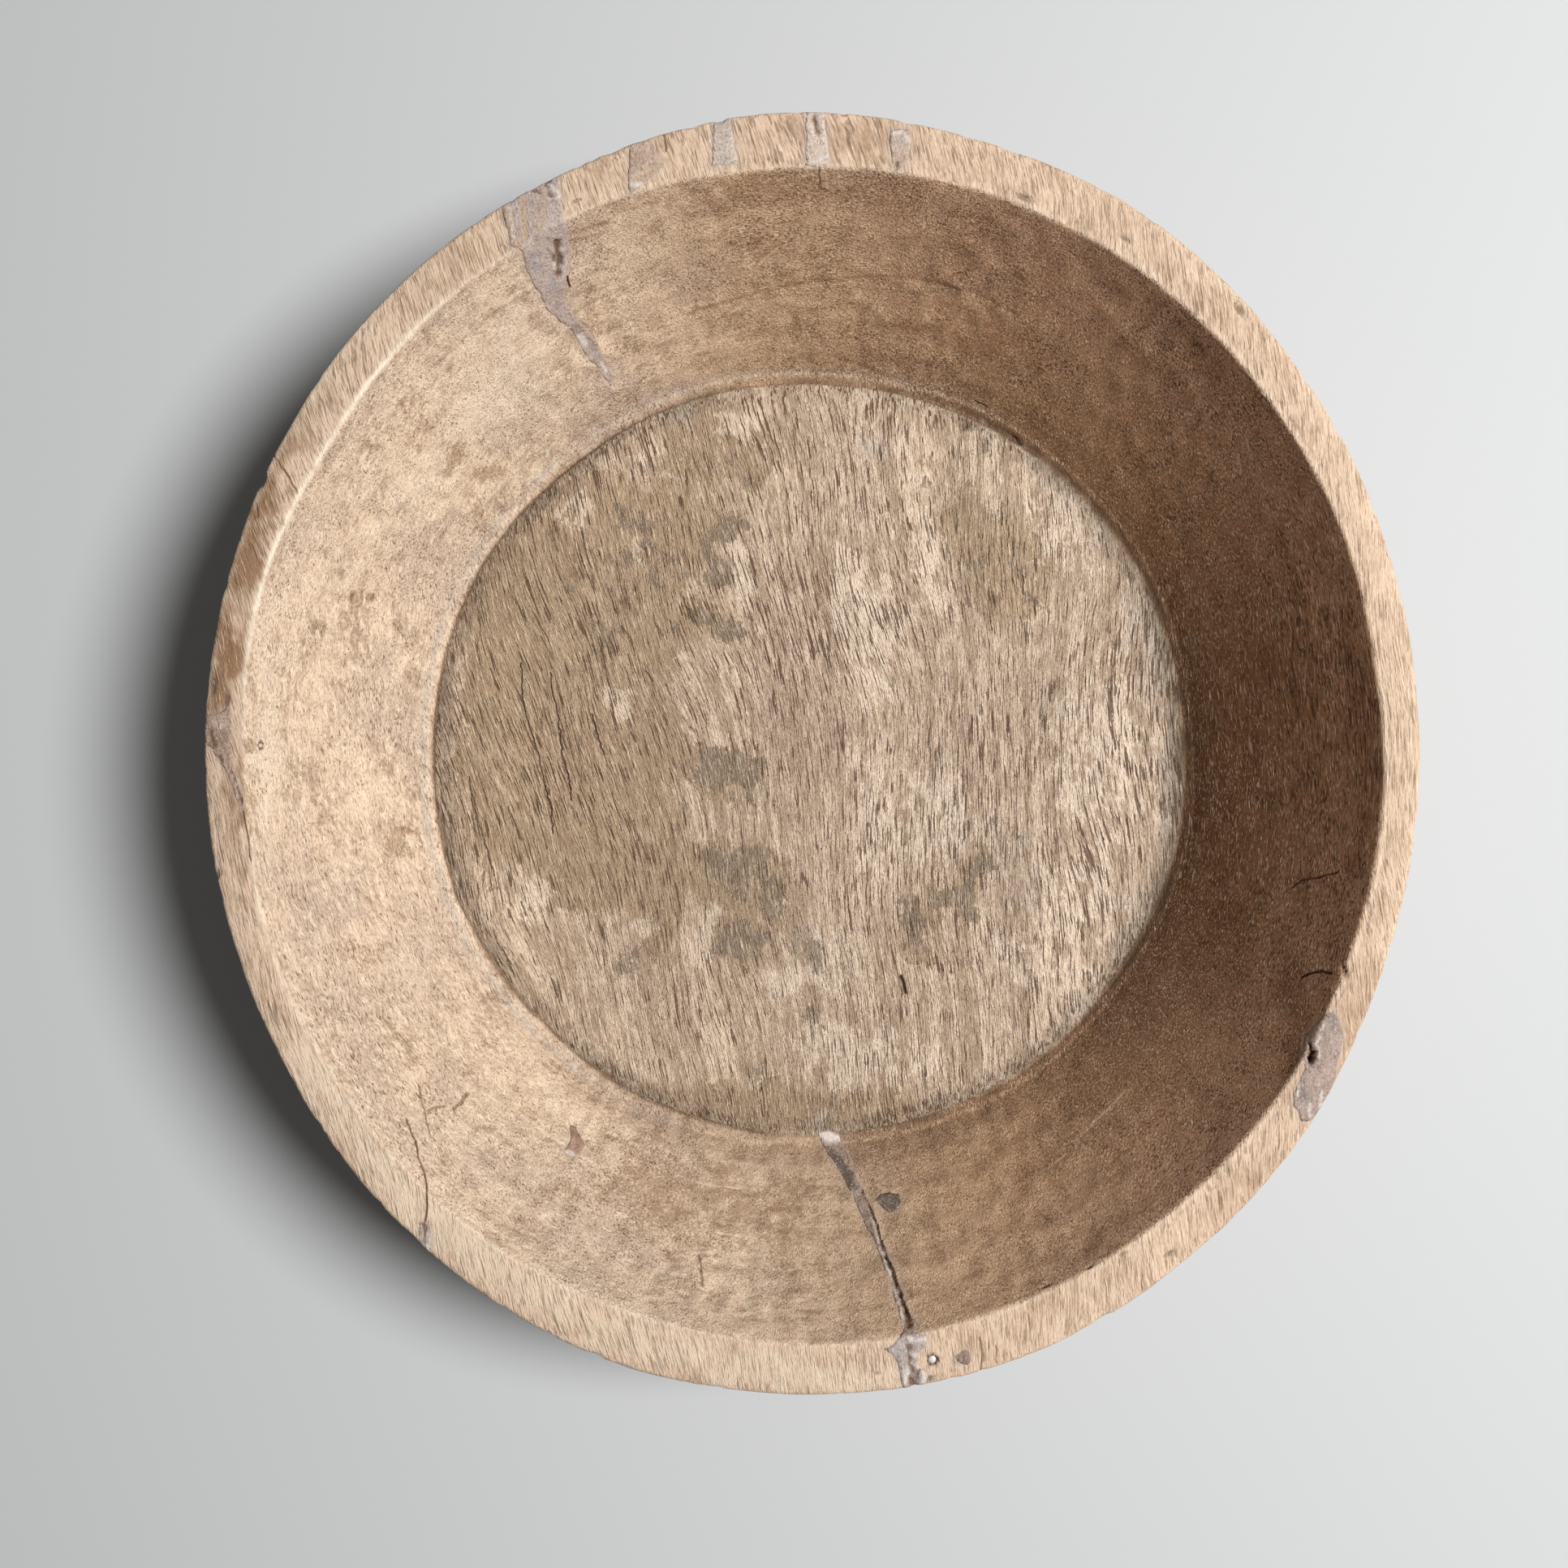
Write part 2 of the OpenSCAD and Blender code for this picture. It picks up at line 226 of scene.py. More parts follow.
def section(theta, v):
    """Radius and height of the plain bowl at an angle and a way along its half section."""
    rim, mouth = rim_radius(theta), mouth_radius(theta)
    floor_r = FLOOR_R + wander(theta, FLOOR_WANDER)
    foot = floor_r + GROOVE_W
    top = HEIGHT - RIM_SINK + RIM_SWAY * wander(theta, LAND_WANDER)
    narrow = rim / RIM_LONG_R
    pitch = np.arctan2(top - FLOOR_Z, mouth - foot)
    wall_end = [mouth - INNER_EASE * np.cos(pitch), top - INNER_EASE * np.sin(pitch)]
    side_top = [rim, top - OUTER_EASE]
    side_low = [BASE_TOP_R * narrow, BASE_TOP_Z + 0 * rim]
    roll = EDGE_ROLL * portion(v, V_FLOOR - EDGE_ROLL_W, V_FLOOR) ** 2
    land_w = rim - OUTER_EASE - mouth - INNER_EASE
    land = portion(v, V_LAND, V_OUTER)
    crown = LAND_CROWN * (2 * land - 1) ** 2
    base = portion(v, V_BASE, V_END)
    inner_curve = wall_end, [mouth, top], [mouth + INNER_EASE, top - LAND_CROWN]
    outer_curve = [rim - OUTER_EASE, top - LAND_CROWN], [rim, top], side_top
    base_curve = side_low, [BASE_KNEE * narrow, 0 * v], [BASE_R * narrow, 0 * v]
    parts = [
        (V_FLOOR, [floor_r * portion(v, 0.0, V_FLOOR), FLOOR_Z - roll]),
        (V_FOOT, [floor_r + GROOVE_W * portion(v, V_FLOOR, V_FOOT), FLOOR_Z - floor_dip(theta, v)]),
        (V_MOUTH, bowed(portion(v, V_FOOT, V_MOUTH), [foot, FLOOR_Z + 0 * v], wall_end, WALL_BOW)),
        (V_LAND, curve(portion(v, V_MOUTH, V_LAND), *inner_curve)),
        (V_OUTER, [mouth + INNER_EASE + land_w * land, top - crown]),
        (V_SIDE, curve(portion(v, V_OUTER, V_SIDE), *outer_curve)),
        (V_CORNER, bowed(portion(v, V_SIDE, V_CORNER), side_top, side_low, -OUTER_BOW)),
        (V_BASE, curve(portion(v, V_CORNER, V_BASE), *base_curve)),
    ]
    which = [v <= end for end, _ in parts]
    r = np.select(which, [part[0] for _, part in parts], BASE_R * narrow * (1 - base) + POLE_R * base)
    z = np.select(which, [part[1] for _, part in parts], 0 * v)
    return r, z


def plain_points(theta, v):
    """Places on the plain bowl in millimetres."""
    r, z = section(theta, v)
    return np.stack([r * np.cos(theta), r * np.sin(theta), z], axis=1)


def plain_normals(theta, v):
    """Directions straight out of the plain bowl's surface."""
    d_theta, d_v, v_least = 0.004, 0.6, 0.5
    around = plain_points(theta + d_theta, v) - plain_points(theta - d_theta, v)
    ahead, behind = np.minimum(v + d_v, V_END), np.maximum(v - d_v, v_least)
    normal = np.cross(plain_points(theta, ahead) - plain_points(theta, behind), around)
    return normal / np.linalg.norm(normal, axis=1)[:, None]


# Way along the section by radius, for the side that the camera sees.
V_TABLE = np.linspace(0.0, V_OUTER, 2 * int(V_OUTER) + 1)
# Rounds in which the depth under a pixel is found.
DEPTH_ROUNDS = 10


def way_at(theta, radius):
    """Way along the section at which the upper side has a radius; past the rim it runs down outside."""
    count = len(V_TABLE)
    tables = section(np.repeat(theta, count), np.tile(V_TABLE, len(theta)))[0].reshape(-1, count)
    ways = [np.interp(r, table, V_TABLE) for r, table in zip(radius, tables)]
    return np.array(ways) + np.maximum(radius - tables[:, -1], 0.0)


def from_photo(pixels):
    """Angles and ways along the section of points given by the photograph's pixels."""
    px = np.asarray(pixels, float)
    flat = (px - PHOTO_CENTRE) * [MM_PER_PX, -MM_PER_PX]
    depth = np.zeros(len(px))
    for _ in range(DEPTH_ROUNDS):
        xy = CAMERA_XY + (flat - CAMERA_XY) * (1 + depth / CAMERA_RISE)[:, None]
        theta = np.arctan2(xy[:, 1], xy[:, 0])
        v = way_at(theta, np.hypot(xy[:, 0], xy[:, 1]))
        height = section(theta, np.minimum(v, V_OUTER))[1]
        depth = np.maximum(HEIGHT - height, 0.0)
    return np.stack([np.unwrap(theta), v], axis=1)


def to_photo(points):
    """Pixels of the photograph at which points of the bowl are seen."""
    k = CAMERA_RISE / (CAMERA_RISE + HEIGHT - points[:, 2])
    flat = CAMERA_XY + (points[:, :2] - CAMERA_XY) * k[:, None]
    return PHOTO_CENTRE + flat / [MM_PER_PX, -MM_PER_PX]


# Cracks: photo pixels, half width and depth in millimetres.
CRACKS = [
    ([(642, 817), (643, 847), (647, 880), (655, 905), (663, 928), (671, 964), (679, 996), (681, 1027)],
     0.29, 0.9),
    ([(678, 829), (681, 853), (687, 880), (690, 901), (693, 930), (701, 960), (704, 986)], 0.29, 0.9),
    ([(729, 880), (735, 901), (744, 930)], 0.32, 0.9),
    ([(777, 902), (783, 914)], 0.32, 0.8),
    ([(795, 826), (804, 840)], 0.32, 0.8),
    ([(766, 772), (775, 786)], 0.29, 0.7),
    ([(578, 957), (581, 983), (591, 1018), (600, 1047), (609, 1079)], 0.27, 0.75),
    ([(1110, 1203), (1113, 1212), (1116, 1223)], 0.7, 1.0),
    ([(502, 1377), (507, 1391), (513, 1405), (516, 1425), (525, 1445), (526, 1466), (526, 1490), (523, 1506)],
     0.32, 0.75),
    ([(516, 1337), (523, 1367), (532, 1400)], 0.3, 0.4),
    ([(527, 1368), (538, 1364), (550, 1362)], 0.3, 0.3),
    ([(560, 1366), (569, 1357), (579, 1346)], 0.5, 0.35),
    ([(861, 1545), (864, 1560), (866, 1584)], 0.4, 0.4),
    ([(1592, 1094), (1603, 1085), (1616, 1083), (1627, 1081), (1635, 1078), (1649, 1074)], 0.36, 0.65),
    ([(1604, 1204), (1616, 1199), (1628, 1196), (1640, 1199)], 0.45, 0.9),
    ([(1009, 205), (1010, 219), (1009, 233)], 0.26, 0.5),
    ([(1207, 1648), (1209, 1668), (1209, 1690)], 0.24, 0.45),
    ([(1227, 1658), (1228, 1680)], 0.22, 0.35),
    ([(817, 156), (819, 170), (820, 186)], 0.24, 0.6),
    ([(336, 560), (352, 582), (366, 608)], 0.28, 0.5),
    ([(316, 620), (318, 637)], 0.32, 0.6),
    ([(299, 1000), (305, 1032), (309, 1060)], 0.29, 0.8),
    ([(699, 340), (701, 347), (702, 353)], 0.36, 1.0),
    ([(1003, 140), (1005, 155), (1008, 166)], 0.36, 0.9),
    ([(1041, 1420), (1045, 1433)], 0.43, 1.2),
    ([(1200, 495), (1215, 503)], 0.36, 0.7),
    ([(1248, 538), (1259, 548)], 0.36, 0.7),
]

# Chips and dents: centre in photo pixels, half length and half width in millimetres,
# turn in degrees from the photograph's right, depth in millimetres.
CHIPS = [
    (1657, 1198, 3.6, 1.5, -58, 2.2), (321, 592, 3.6, 1.8, 80, 3.2), (1288, 1584, 2.4, 0.9, 22, 1.0),
    (1342, 1561, 2.6, 0.9, 28, 1.0), (1384, 1545, 2.0, 0.8, 30, 0.8),
    (675, 213, 1.6, 1.1, 60, 2.5), (1262, 243, 5.0, 1.5, -20, 1.3), (1527, 381, 4.0, 2.0, -50, 1.4),
    (1385, 293, 3.0, 1.4, -35, 0.9), (268, 1076, 2.4, 1.2, 80, 0.9), (709, 247, 2.4, 0.9, 12, 0.9),
    (262, 845, 5.0, 2.4, 85, 1.0), (279, 862, 3.6, 2.0, 70, 0.8), (436, 735, 2.2, 1.4, 30, 0.7),
    (461, 738, 1.6, 1.2, 0, 0.7), (452, 704, 2.4, 1.0, -30, 0.5), (540, 690, 3.0, 0.8, -15, 0.5),
    (1145, 1700, 2.6, 1.6, 20, 0.9), (870, 1546, 2.0, 1.4, 10, 0.6), (1080, 1692, 2.0, 0.9, 5, 0.5),
    (500, 1040, 2.2, 1.2, 60, 0.6), (497, 1020, 1.4, 1.0, 0, 0.5), (1440, 1545, 3.2, 1.0, 30, 0.8),
    (1190, 526, 2.6, 1.6, 70, 0.8), (676, 606, 4.0, 1.1, -72, 0.9), (668, 604, 2.6, 0.8, -75, 0.8),
]

# Tool lines and scratches: photo pixels, half width, depth and paleness.
SCRATCHES = [
    ([(850, 388), (900, 372), (950, 358), (1000, 349), (1050, 344), (1100, 343), (1160, 352)],
     1.3, 0.35, -1.0),
    ([(1160, 352), (1215, 370), (1250, 388)], 1.2, 0.25, -0.6),
    ([(1020, 440), (1060, 452), (1100, 468)], 1.0, 0.3, -0.8),
    ([(858, 1456), (885, 1461), (911, 1463)], 0.5, 0.15, 1.0),
    ([(881, 1519), (897, 1521), (913, 1523)], 0.6, 0.15, 0.8),
    ([(915, 1619), (930, 1616), (948, 1612)], 0.5, 0.15, 1.0),
    ([(918, 1597), (934, 1593)], 0.4, 0.12, 0.9),
    ([(1609, 821), (1608, 840), (1607, 859)], 0.45, 0.15, 1.0),
    ([(1652, 859), (1658, 869)], 0.45, 0.15, 1.0),
    ([(1525, 562), (1527, 586)], 0.45, 0.15, 1.0),
    ([(1535, 545), (1541, 566)], 0.4, 0.12, 0.8),
    ([(1330, 1400), (1360, 1372), (1385, 1345)], 0.4, 0.1, 0.7),
    ([(1290, 1440), (1310, 1424)], 0.4, 0.1, 0.7),
    ([(700, 291), (725, 284), (750, 275)], 1.3, 0.3, -0.9),
    ([(699, 300), (720, 296), (745, 288)], 1.0, 0.25, -0.8),
    ([(651, 452), (655, 466)], 0.5, 0.3, -0.8),
]

# Stains, worn places and some painted shade on the floor, walls and rim: centre, half sizes in photo pixels,
# turn, amount.
CRUST_BLOBS = [
    (892, 645, 24, 15, 0, 0.9), (878, 690, 15, 32, -18, 1.0), (905, 780, 24, 20, -15, 1.0),
    (866, 766, 26, 12, 10, 0.85), (780, 640, 44, 22, 0, 0.62), (740, 705, 52, 26, 0, 0.62),
    (752, 797, 28, 24, 0, 0.62), (812, 700, 26, 22, 0, 0.55), (938, 586, 30, 16, 0, 0.5),
    (889, 953, 42, 24, 5, 1.1), (850, 1000, 20, 20, 0, 0.5), (905, 1062, 44, 24, 15, 0.85),
    (940, 1106, 24, 34, -30, 0.75), (906, 1166, 22, 27, 10, 1.1), (986, 1166, 13, 34, -25, 0.85),
    (800, 1180, 40, 24, 0, 0.55), (995, 1268, 14, 24, 0, 0.55), (935, 1316, 18, 12, 0, 0.5),
    (905, 1362, 46, 14, 0, 0.6), (1216, 1066, 16, 34, 25, 0.85), (1175, 1110, 26, 18, -30, 0.75),
    (1122, 1140, 16, 40, -25, 0.85), (1026, 1360, 50, 14, 0, 0.5), (1194, 531, 11, 16, 0, 0.9),
    (1211, 552, 9, 8, 0, 0.85), (1157, 603, 42, 16, 0, 0.5), (1203, 693, 20, 14, 0, 0.55),
    (1259, 687, 15, 23, 0, 0.55), (1214, 744, 22, 15, 0, 0.65), (1262, 739, 19, 9, 5, 0.8),
    (1249, 840, 14, 26, 0, 0.55),
]
# Old skin that is left on the floor, as outlines in photo pixels.
OLD_SKIN = [
    [
        (592, 640), (640, 580), (700, 555), (765, 580), (830, 588), (880, 616), (914, 630), (905, 652),
        (884, 660), (890, 692), (906, 716), (884, 724), (862, 692), (848, 705), (846, 740), (882, 744),
        (925, 765), (916, 802), (896, 802), (880, 790), (842, 808), (830, 850), (833, 905), (850, 925),
        (924, 930), (930, 965), (905, 992), (868, 982), (850, 958), (836, 985), (850, 1018),
        (876, 1034), (936, 1044), (962, 1075), (956, 1105), (976, 1140), (1004, 1182), (985, 1197),
        (964, 1170), (936, 1142), (932, 1190), (900, 1202), (880, 1176), (870, 1150), (880, 1112),
        (860, 1092), (840, 1130), (846, 1178), (810, 1190), (780, 1130), (720, 1140), (670, 1105),
        (640, 1060), (600, 1080), (574, 1020), (562, 950), (566, 850), (578, 740),
    ],
    [
        (1205, 1034), (1236, 1060), (1214, 1100), (1182, 1126), (1152, 1152), (1150, 1184),
        (1127, 1190), (1099, 1146), (1106, 1117), (1148, 1107), (1180, 1079), (1196, 1050),
    ],
    [
        (800, 1345), (900, 1328), (1000, 1346), (1080, 1338), (1150, 1350), (1120, 1384), (1000, 1398),
        (880, 1388),
    ],
    [
        (828, 488), (900, 500), (962, 540), (940, 606), (862, 600), (800, 562),
    ],
    [
        (1180, 600), (1262, 640), (1292, 700), (1272, 762), (1216, 772), (1190, 700), (1140, 640),
    ],
]
SKIN_RAMP_PX, SKIN_LEAST, SKIN_MOST = 80.0, 0.27, 0.74
PALE_BLOBS = [
    (916, 700, 17, 50, -15, 1.0), (757, 856, 21, 25, 0, 0.85), (774, 682, 13, 19, 0, 0.8),
    (711, 628, 22, 25, 0, 0.75), (903, 524, 36, 20, 0, 0.8), (790, 560, 50, 20, -25, 0.6),
    (878, 1150, 14, 46, 10, 0.8), (970, 1212, 44, 22, 0, 0.95), (792, 1147, 17, 18, 0, 0.8),
    (655, 1108, 20, 30, 0, 0.7), (1150, 1010, 50, 62, 0, 0.85), (1253, 1180, 34, 40, 0, 0.75),
    (1062, 760, 30, 110, -8, 0.8), (1075, 1010, 26, 90, -8, 0.7), (1050, 1295, 70, 40, 0, 0.8),
    (1020, 1190, 40, 44, 0, 0.8), (1350, 930, 62, 120, 0, 0.7), (1330, 1120, 70, 80, 20, 0.6),
    (1310, 640, 70, 60, 30, 0.6), (1140, 690, 30, 110, 0, 0.6), (1100, 1310, 80, 30, -5, 0.6),
    (720, 1290, 30, 20, 30, 0.5), (395, 1345, 70, 26, 56, 0.8), (470, 1440, 80, 26, 48, 0.8),
    (560, 1525, 80, 26, 40, 0.8), (660, 1590, 80, 26, 28, 0.8), (800, 1650, 90, 26, 17, 0.8),
    (950, 1690, 90, 26, 5, 0.85), (1050, 1700, 60, 26, 0, 0.7), (328, 900, 20, 170, 0, 0.8),
    (600, 500, 60, 34, -45, 0.9), (620, 440, 50, 34, -45, 0.7), (520, 600, 40, 60, 30, 0.5),
]
GREY_BLOBS = [
    (400, 1130, 50, 90, 20, 0.7), (510, 1190, 60, 70, 20, 0.6), (838, 506, 25, 21, 0, 0.9),
    (1084, 545, 26, 22, 0, 0.8), (1400, 760, 22, 46, 20, 0.7), (1425, 800, 16, 60, 10, 0.9),
    (1385, 640, 24, 50, 38, 0.85), (1310, 560, 30, 44, 52, 0.7), (1442, 960, 14, 90, 0, 0.85),
    (1400, 1140, 34, 60, 24, 0.8), (1412, 1180, 16, 30, 24, 1.0), (1330, 1250, 36, 40, 45, 0.6),
    (1250, 1080, 60, 90, 0, 0.5), (1225, 520, 46, 16, 30, 0.75), (1290, 640, 30, 60, 40, 0.3),
    (1290, 860, 60, 60, 0, 0.42), (1015, 1386, 10, 12, 0, 0.9), (1200, 1040, 60, 60, 0, 0.45),
    (905, 1165, 30, 32, 0, 0.5), (985, 1156, 30, 34, 0, 0.6), (1239, 504, 40, 9, 32, 0.9),
    (460, 620, 60, 90, 30, 0.35), (420, 700, 40, 60, 20, 0.4), (500, 840, 30, 60, 0, 0.35),
    (1060, 690, 40, 40, 0, 0.3),
]
# Brown stains; the patches along the left rim's rolled outer edge and the one at the top right below the
# mouth are painted shade.
BROWN_AND_SHADE_BLOBS = [
    (314, 924, 10, 6, -20, 1.1), (398, 906, 9, 9, 0, 0.9), (300, 660, 24, 90, 18, 0.85),
    (276, 800, 18, 60, 5, 1.0), (268, 880, 22, 60, 0, 0.7), (290, 985, 14, 60, 0, 0.65),
    (1520, 1490, 130, 30, -42, 0.28), (1650, 1285, 48, 110, 25, 0.42), (560, 320, 90, 20, -40, 0.2),
    (352, 560, 20, 40, 30, 0.55), (330, 600, 16, 30, 25, 0.7), (560, 305, 60, 16, -40, 0.15),
    (745, 185, 60, 14, -16, 0.3), (1050, 170, 130, 24, 0, 0.36), (840, 1500, 100, 50, 8, 0.45),
    (470, 400, 60, 14, -48, 0.15), (440, 735, 12, 9, 20, 0.9), (462, 738, 7, 6, 0, 0.9),
    (498, 1035, 12, 26, 10, 0.9), (560, 575, 26, 14, -30, 0.7), (612, 590, 20, 13, -20, 0.7),
    (590, 640, 16, 12, 0, 0.6), (520, 520, 30, 30, 0, 0.4), (905, 1490, 26, 14, 0, 0.85),
    (812, 1472, 18, 16, 0, 0.85), (858, 1505, 38, 12, 8, 0.7), (893, 1445, 24, 12, 0, 0.7),
    (905, 1466, 30, 8, 3, 0.8), (700, 1470, 36, 20, 20, 0.55), (960, 1530, 40, 24, 0, 0.5),
    (1010, 1560, 30, 20, 0, 0.45), (1250, 1440, 70, 40, -20, 0.5), (830, 1470, 110, 60, 8, 0.6),
    (960, 1490, 60, 50, 0, 0.55), (1060, 402, 26, 22, 0, 0.6), (980, 396, 20, 18, 0, 0.55),
    (1120, 390, 24, 22, 20, 0.65), (1210, 420, 50, 30, 30, 0.7), (950, 235, 70, 22, 0, 0.65),
    (1100, 240, 60, 24, 8, 0.6), (880, 250, 40, 14, 10, 0.6), (1190, 300, 50, 50, 30, 0.55),
    (1290, 325, 60, 36, 35, 0.6), (900, 300, 60, 24, 0, 0.45), (730, 392, 30, 16, -20, 0.55),
    (790, 430, 36, 18, 10, 0.45), (690, 600, 20, 40, 30, 0.6), (430, 1180, 30, 40, 0, 0.3),
    (380, 820, 12, 10, 0, 0.5), (400, 950, 14, 10, 0, 0.5), (390, 1010, 20, 16, 0, 0.5),
    (350, 870, 12, 10, 0, 0.45), (1480, 1180, 60, 90, 30, 0.45), (1400, 1370, 70, 50, -30, 0.4),
    (1010, 620, 60, 30, 0, 0.3), (1000, 895, 80, 78, 0, 0.62), (980, 530, 100, 44, 0, 0.5),
    (830, 860, 50, 60, 0, 0.5), (1060, 1000, 40, 60, 0, 0.35),
]
# Two dark patches on the right wall beside the pit of the right rim's filler.
RIGHT_WALL_DARK_BLOBS = [(1594, 1225, 20, 46, -12, 0.7), (1600, 1300, 12, 30, -25, 0.6)]

# A line on the unrolled surface: the radius at which its steps and its shake are measured, and
# the size of the shake along the line.
STEP_RADIUS, SHAKE_RADIUS, SHAKE_SIZE = V_LAND * 0.8, 230.0, 3.1


def rough_line(points, spacing, shake, seed):
    """Line through points, cut into short steps that wander sideways."""
    points = np.asarray(points, float)
    steps = [points[:1]]
    for a, b in zip(points[:-1], points[1:]):
        length = np.hypot(*((b - a) * [STEP_RADIUS, 1.0]))
        count = max(1, int(round(length / spacing)))
        steps.append(a + (b - a) * (np.arange(1, count + 1) / count)[:, None])
    line = np.concatenate(steps)
    place = np.stack([line[:, 0] * SHAKE_RADIUS, line[:, 1], 0 * line[:, 1]], axis=1)
    line[1:-1, 0] += shake * noise(place, SHAKE_SIZE, seed)[1:-1] / SHAKE_RADIUS
    line[1:-1, 1] += shake * noise(place, SHAKE_SIZE, seed + 1)[1:-1]
    return line


def line_distance(theta, v, radius, line):
    """Distance of points to a line drawn on the unrolled surface."""
    best = np.full(len(theta), 1e9)
    for (ta, va), (tb, vb) in zip(line[:-1], line[1:]):
        x, y = radius * wrap(theta - ta), v - va
        dx, dy = radius * wrap(tb - ta), vb - va
        t = np.clip((x * dx + y * dy) / (dx * dx + dy * dy + 1e-9), 0.0, 1.0)
        best = np.minimum(best, np.hypot(x - t * dx, y - t * dy))
    return best


def inside(theta, v, ring):
    """True for points within a closed ring on the unrolled surface."""
    middle = ring[0, 0]
    x, result = wrap(theta - middle), np.zeros(len(theta), bool)
    rx, ry = wrap(ring[:, 0] - middle), ring[:, 1]
    for i in range(len(ring)):
        x0, y0, x1, y1 = rx[i - 1], ry[i - 1], rx[i], ry[i]
        if y0 == y1:
            continue
        crosses = ((v < y0) != (v < y1)) & (x < x0 + (v - y0) * (x1 - x0) / (y1 - y0))
        result ^= crosses
    return result


def close_to(theta, v, radius, line, reach):
    """Numbers of the points that lie within reach of a line's box."""
    middle = line[0, 0]
    turn = wrap(line[:, 0] - middle)
    around = wrap(theta - middle)
    room = reach / np.maximum(radius, 1.0)
    near = (around > turn.min() - room) & (around < turn.max() + room)
    near &= (v > line[:, 1].min() - reach) & (v < line[:, 1].max() + reach)
    return np.nonzero(near)[0]


def near_line(theta, v, radius, line, reach):
    """Numbers of the points within reach of a line's box, and their distances to the line."""
    near = close_to(theta, v, radius, line, reach)
    return near, line_distance(theta[near], v[near], radius[near], line)


def closed(ring):
    """A ring's points with the first one again at the end."""
    return np.concatenate([ring, ring[:1]])


# Outlines of the fillers in photo pixels, with places outside the rim in degrees and
# millimetres down the outer wall where a filler goes through.
UPPER_SPLIT = [
    (614, 246), (621, 266), (626, 289), (630, 303), (643, 309), (646, 328), (655, 345), (665, 362),
    (673, 381), (690, 397), (703, 406), (715, 425), (724, 442), (732, 448), (741, 461), (753, 477),
    (759, 465), (749, 448), (741, 435), (732, 419), (722, 406), (707, 389), (699, 374), (694, 354),
    (696, 343), (701, 324), (701, 305), (699, 282), (692, 263), (690, 238), (689, 219), (687, 211),
]
UPPER_SPLIT_OUTSIDE = [
    (113.7, 10), (114.2, 30), (115.2, 52), (115.9, 80), (116.3, 80), (117.3, 50), (118.6, 28),
    (119.5, 10),
]
LOWER_SPLIT = [
    (1008, 1397), (1016, 1415), (1029, 1435), (1040, 1453), (1051, 1473), (1060, 1495), (1069, 1513),
    (1080, 1535), (1087, 1555), (1096, 1577), (1103, 1602), (1109, 1622), (1115, 1647), (1128, 1647),
    (1128, 1629), (1120, 1613), (1112, 1591), (1105, 1569), (1096, 1548), (1088, 1528), (1081, 1504),
    (1072, 1482), (1063, 1464), (1052, 1444), (1044, 1428), (1037, 1411), (1033, 1396), (1021, 1393),
]
LOWER_SPLIT_OUTSIDE = [(278.1, 12), (278.3, 45), (278.6, 82), (278.9, 82), (279.2, 50), (279.4, 12)]
LOWER_RIM = [
    (1089, 1662), (1103, 1656), (1113, 1640), (1131, 1641), (1143, 1647), (1141, 1660), (1132, 1667),
    (1130, 1682), (1136, 1689), (1143, 1694), (1139, 1705), (1131, 1716), (1128, 1738), (1113, 1740),
    (1112, 1714), (1110, 1700), (1107, 1682), (1101, 1671),
]
RIGHT_RIM = [
    (1642, 1246), (1652, 1261), (1655, 1277), (1651, 1298), (1645, 1327), (1640, 1348), (1632, 1368),
    (1614, 1383), (1603, 1381), (1595, 1363), (1593, 1348), (1601, 1331), (1608, 1318), (1603, 1298),
    (1606, 1277), (1620, 1262), (1632, 1250),
]
LEFT_RIM = [
    (264, 880), (283, 870), (285, 900), (284, 925), (286, 943), (292, 962), (298, 980), (300, 994),
    (295, 994), (288, 978), (281, 955), (273, 941), (262, 925), (245, 910), (243, 890), (252, 880),
]
CORNER_CRACK = [(516, 1507), (530, 1504), (533, 1525), (530, 1545), (520, 1564), (506, 1550), (514, 1530)]
PLUG_1 = [(775, 146), (798, 141), (800, 185), (820, 203), (806, 216), (795, 224), (777, 238), (774, 226)]
PLUG_2 = [
    (880, 118), (900, 116), (901, 150), (904, 175), (908, 198), (893, 204), (876, 203), (878, 175),
    (879, 150),
]
PLUG_3 = [(993, 110), (1014, 110), (1015, 150), (1018, 178), (1023, 199), (1008, 205), (992, 203), (993, 175)]
PLUG_4 = [
    (1097, 161), (1110, 157), (1122, 161), (1121, 185), (1118, 197), (1105, 212), (1098, 199),
    (1096, 180),
]
HEART = [
    (1176, 1672), (1183, 1667), (1190, 1663), (1195, 1665), (1197, 1676), (1193, 1681), (1186, 1680),
    (1180, 1677),
]
SPOT = [
    (1078, 1480), (1084, 1472), (1095, 1470), (1107, 1471), (1111, 1480), (1106, 1490), (1097, 1493),
    (1088, 1489),
]
CHIP = [
    (703, 1385), (711, 1387), (716, 1400), (721, 1410), (714, 1422), (700, 1424), (695, 1416),
    (703, 1405),
]
NAIL_AT = (1148.6, 1676.2)
PIN_AT = (322.9, 918.6)
PIT = [(1612, 1282), (1617, 1291), (1624, 1296), (1620, 1307), (1614, 1316), (1611, 1305)]

# Spacing and shake of the lines in millimetres, and the first seed of each kind.
RING_STEP, OUTSIDE_STEP, RING_SHAKE, RING_SEED = 1.1, 1.3, 0.45, 101
CRACK_STEP, CRACK_SHAKE, CRACK_SEED = 2.0, 0.5, 200
SCRATCH_STEP, SCRATCH_SHAKE, SCRATCH_SEED = 3.0, 0.4, 300
MARK_STEP, MARK_SHAKE, MARK_SEED = 1.5, 0.3, 400


def rough_ring(points, spacing, seed):
    """Closed rough outline on the unrolled surface."""
    return rough_line(closed(points), spacing, RING_SHAKE, seed)[:-1]


def outside_places(places):
    """Places on the outer wall, given in degrees and millimetres below the rim's edge."""
    return [(wrap(math.radians(degrees)), V_SIDE + down) for degrees, down in places]


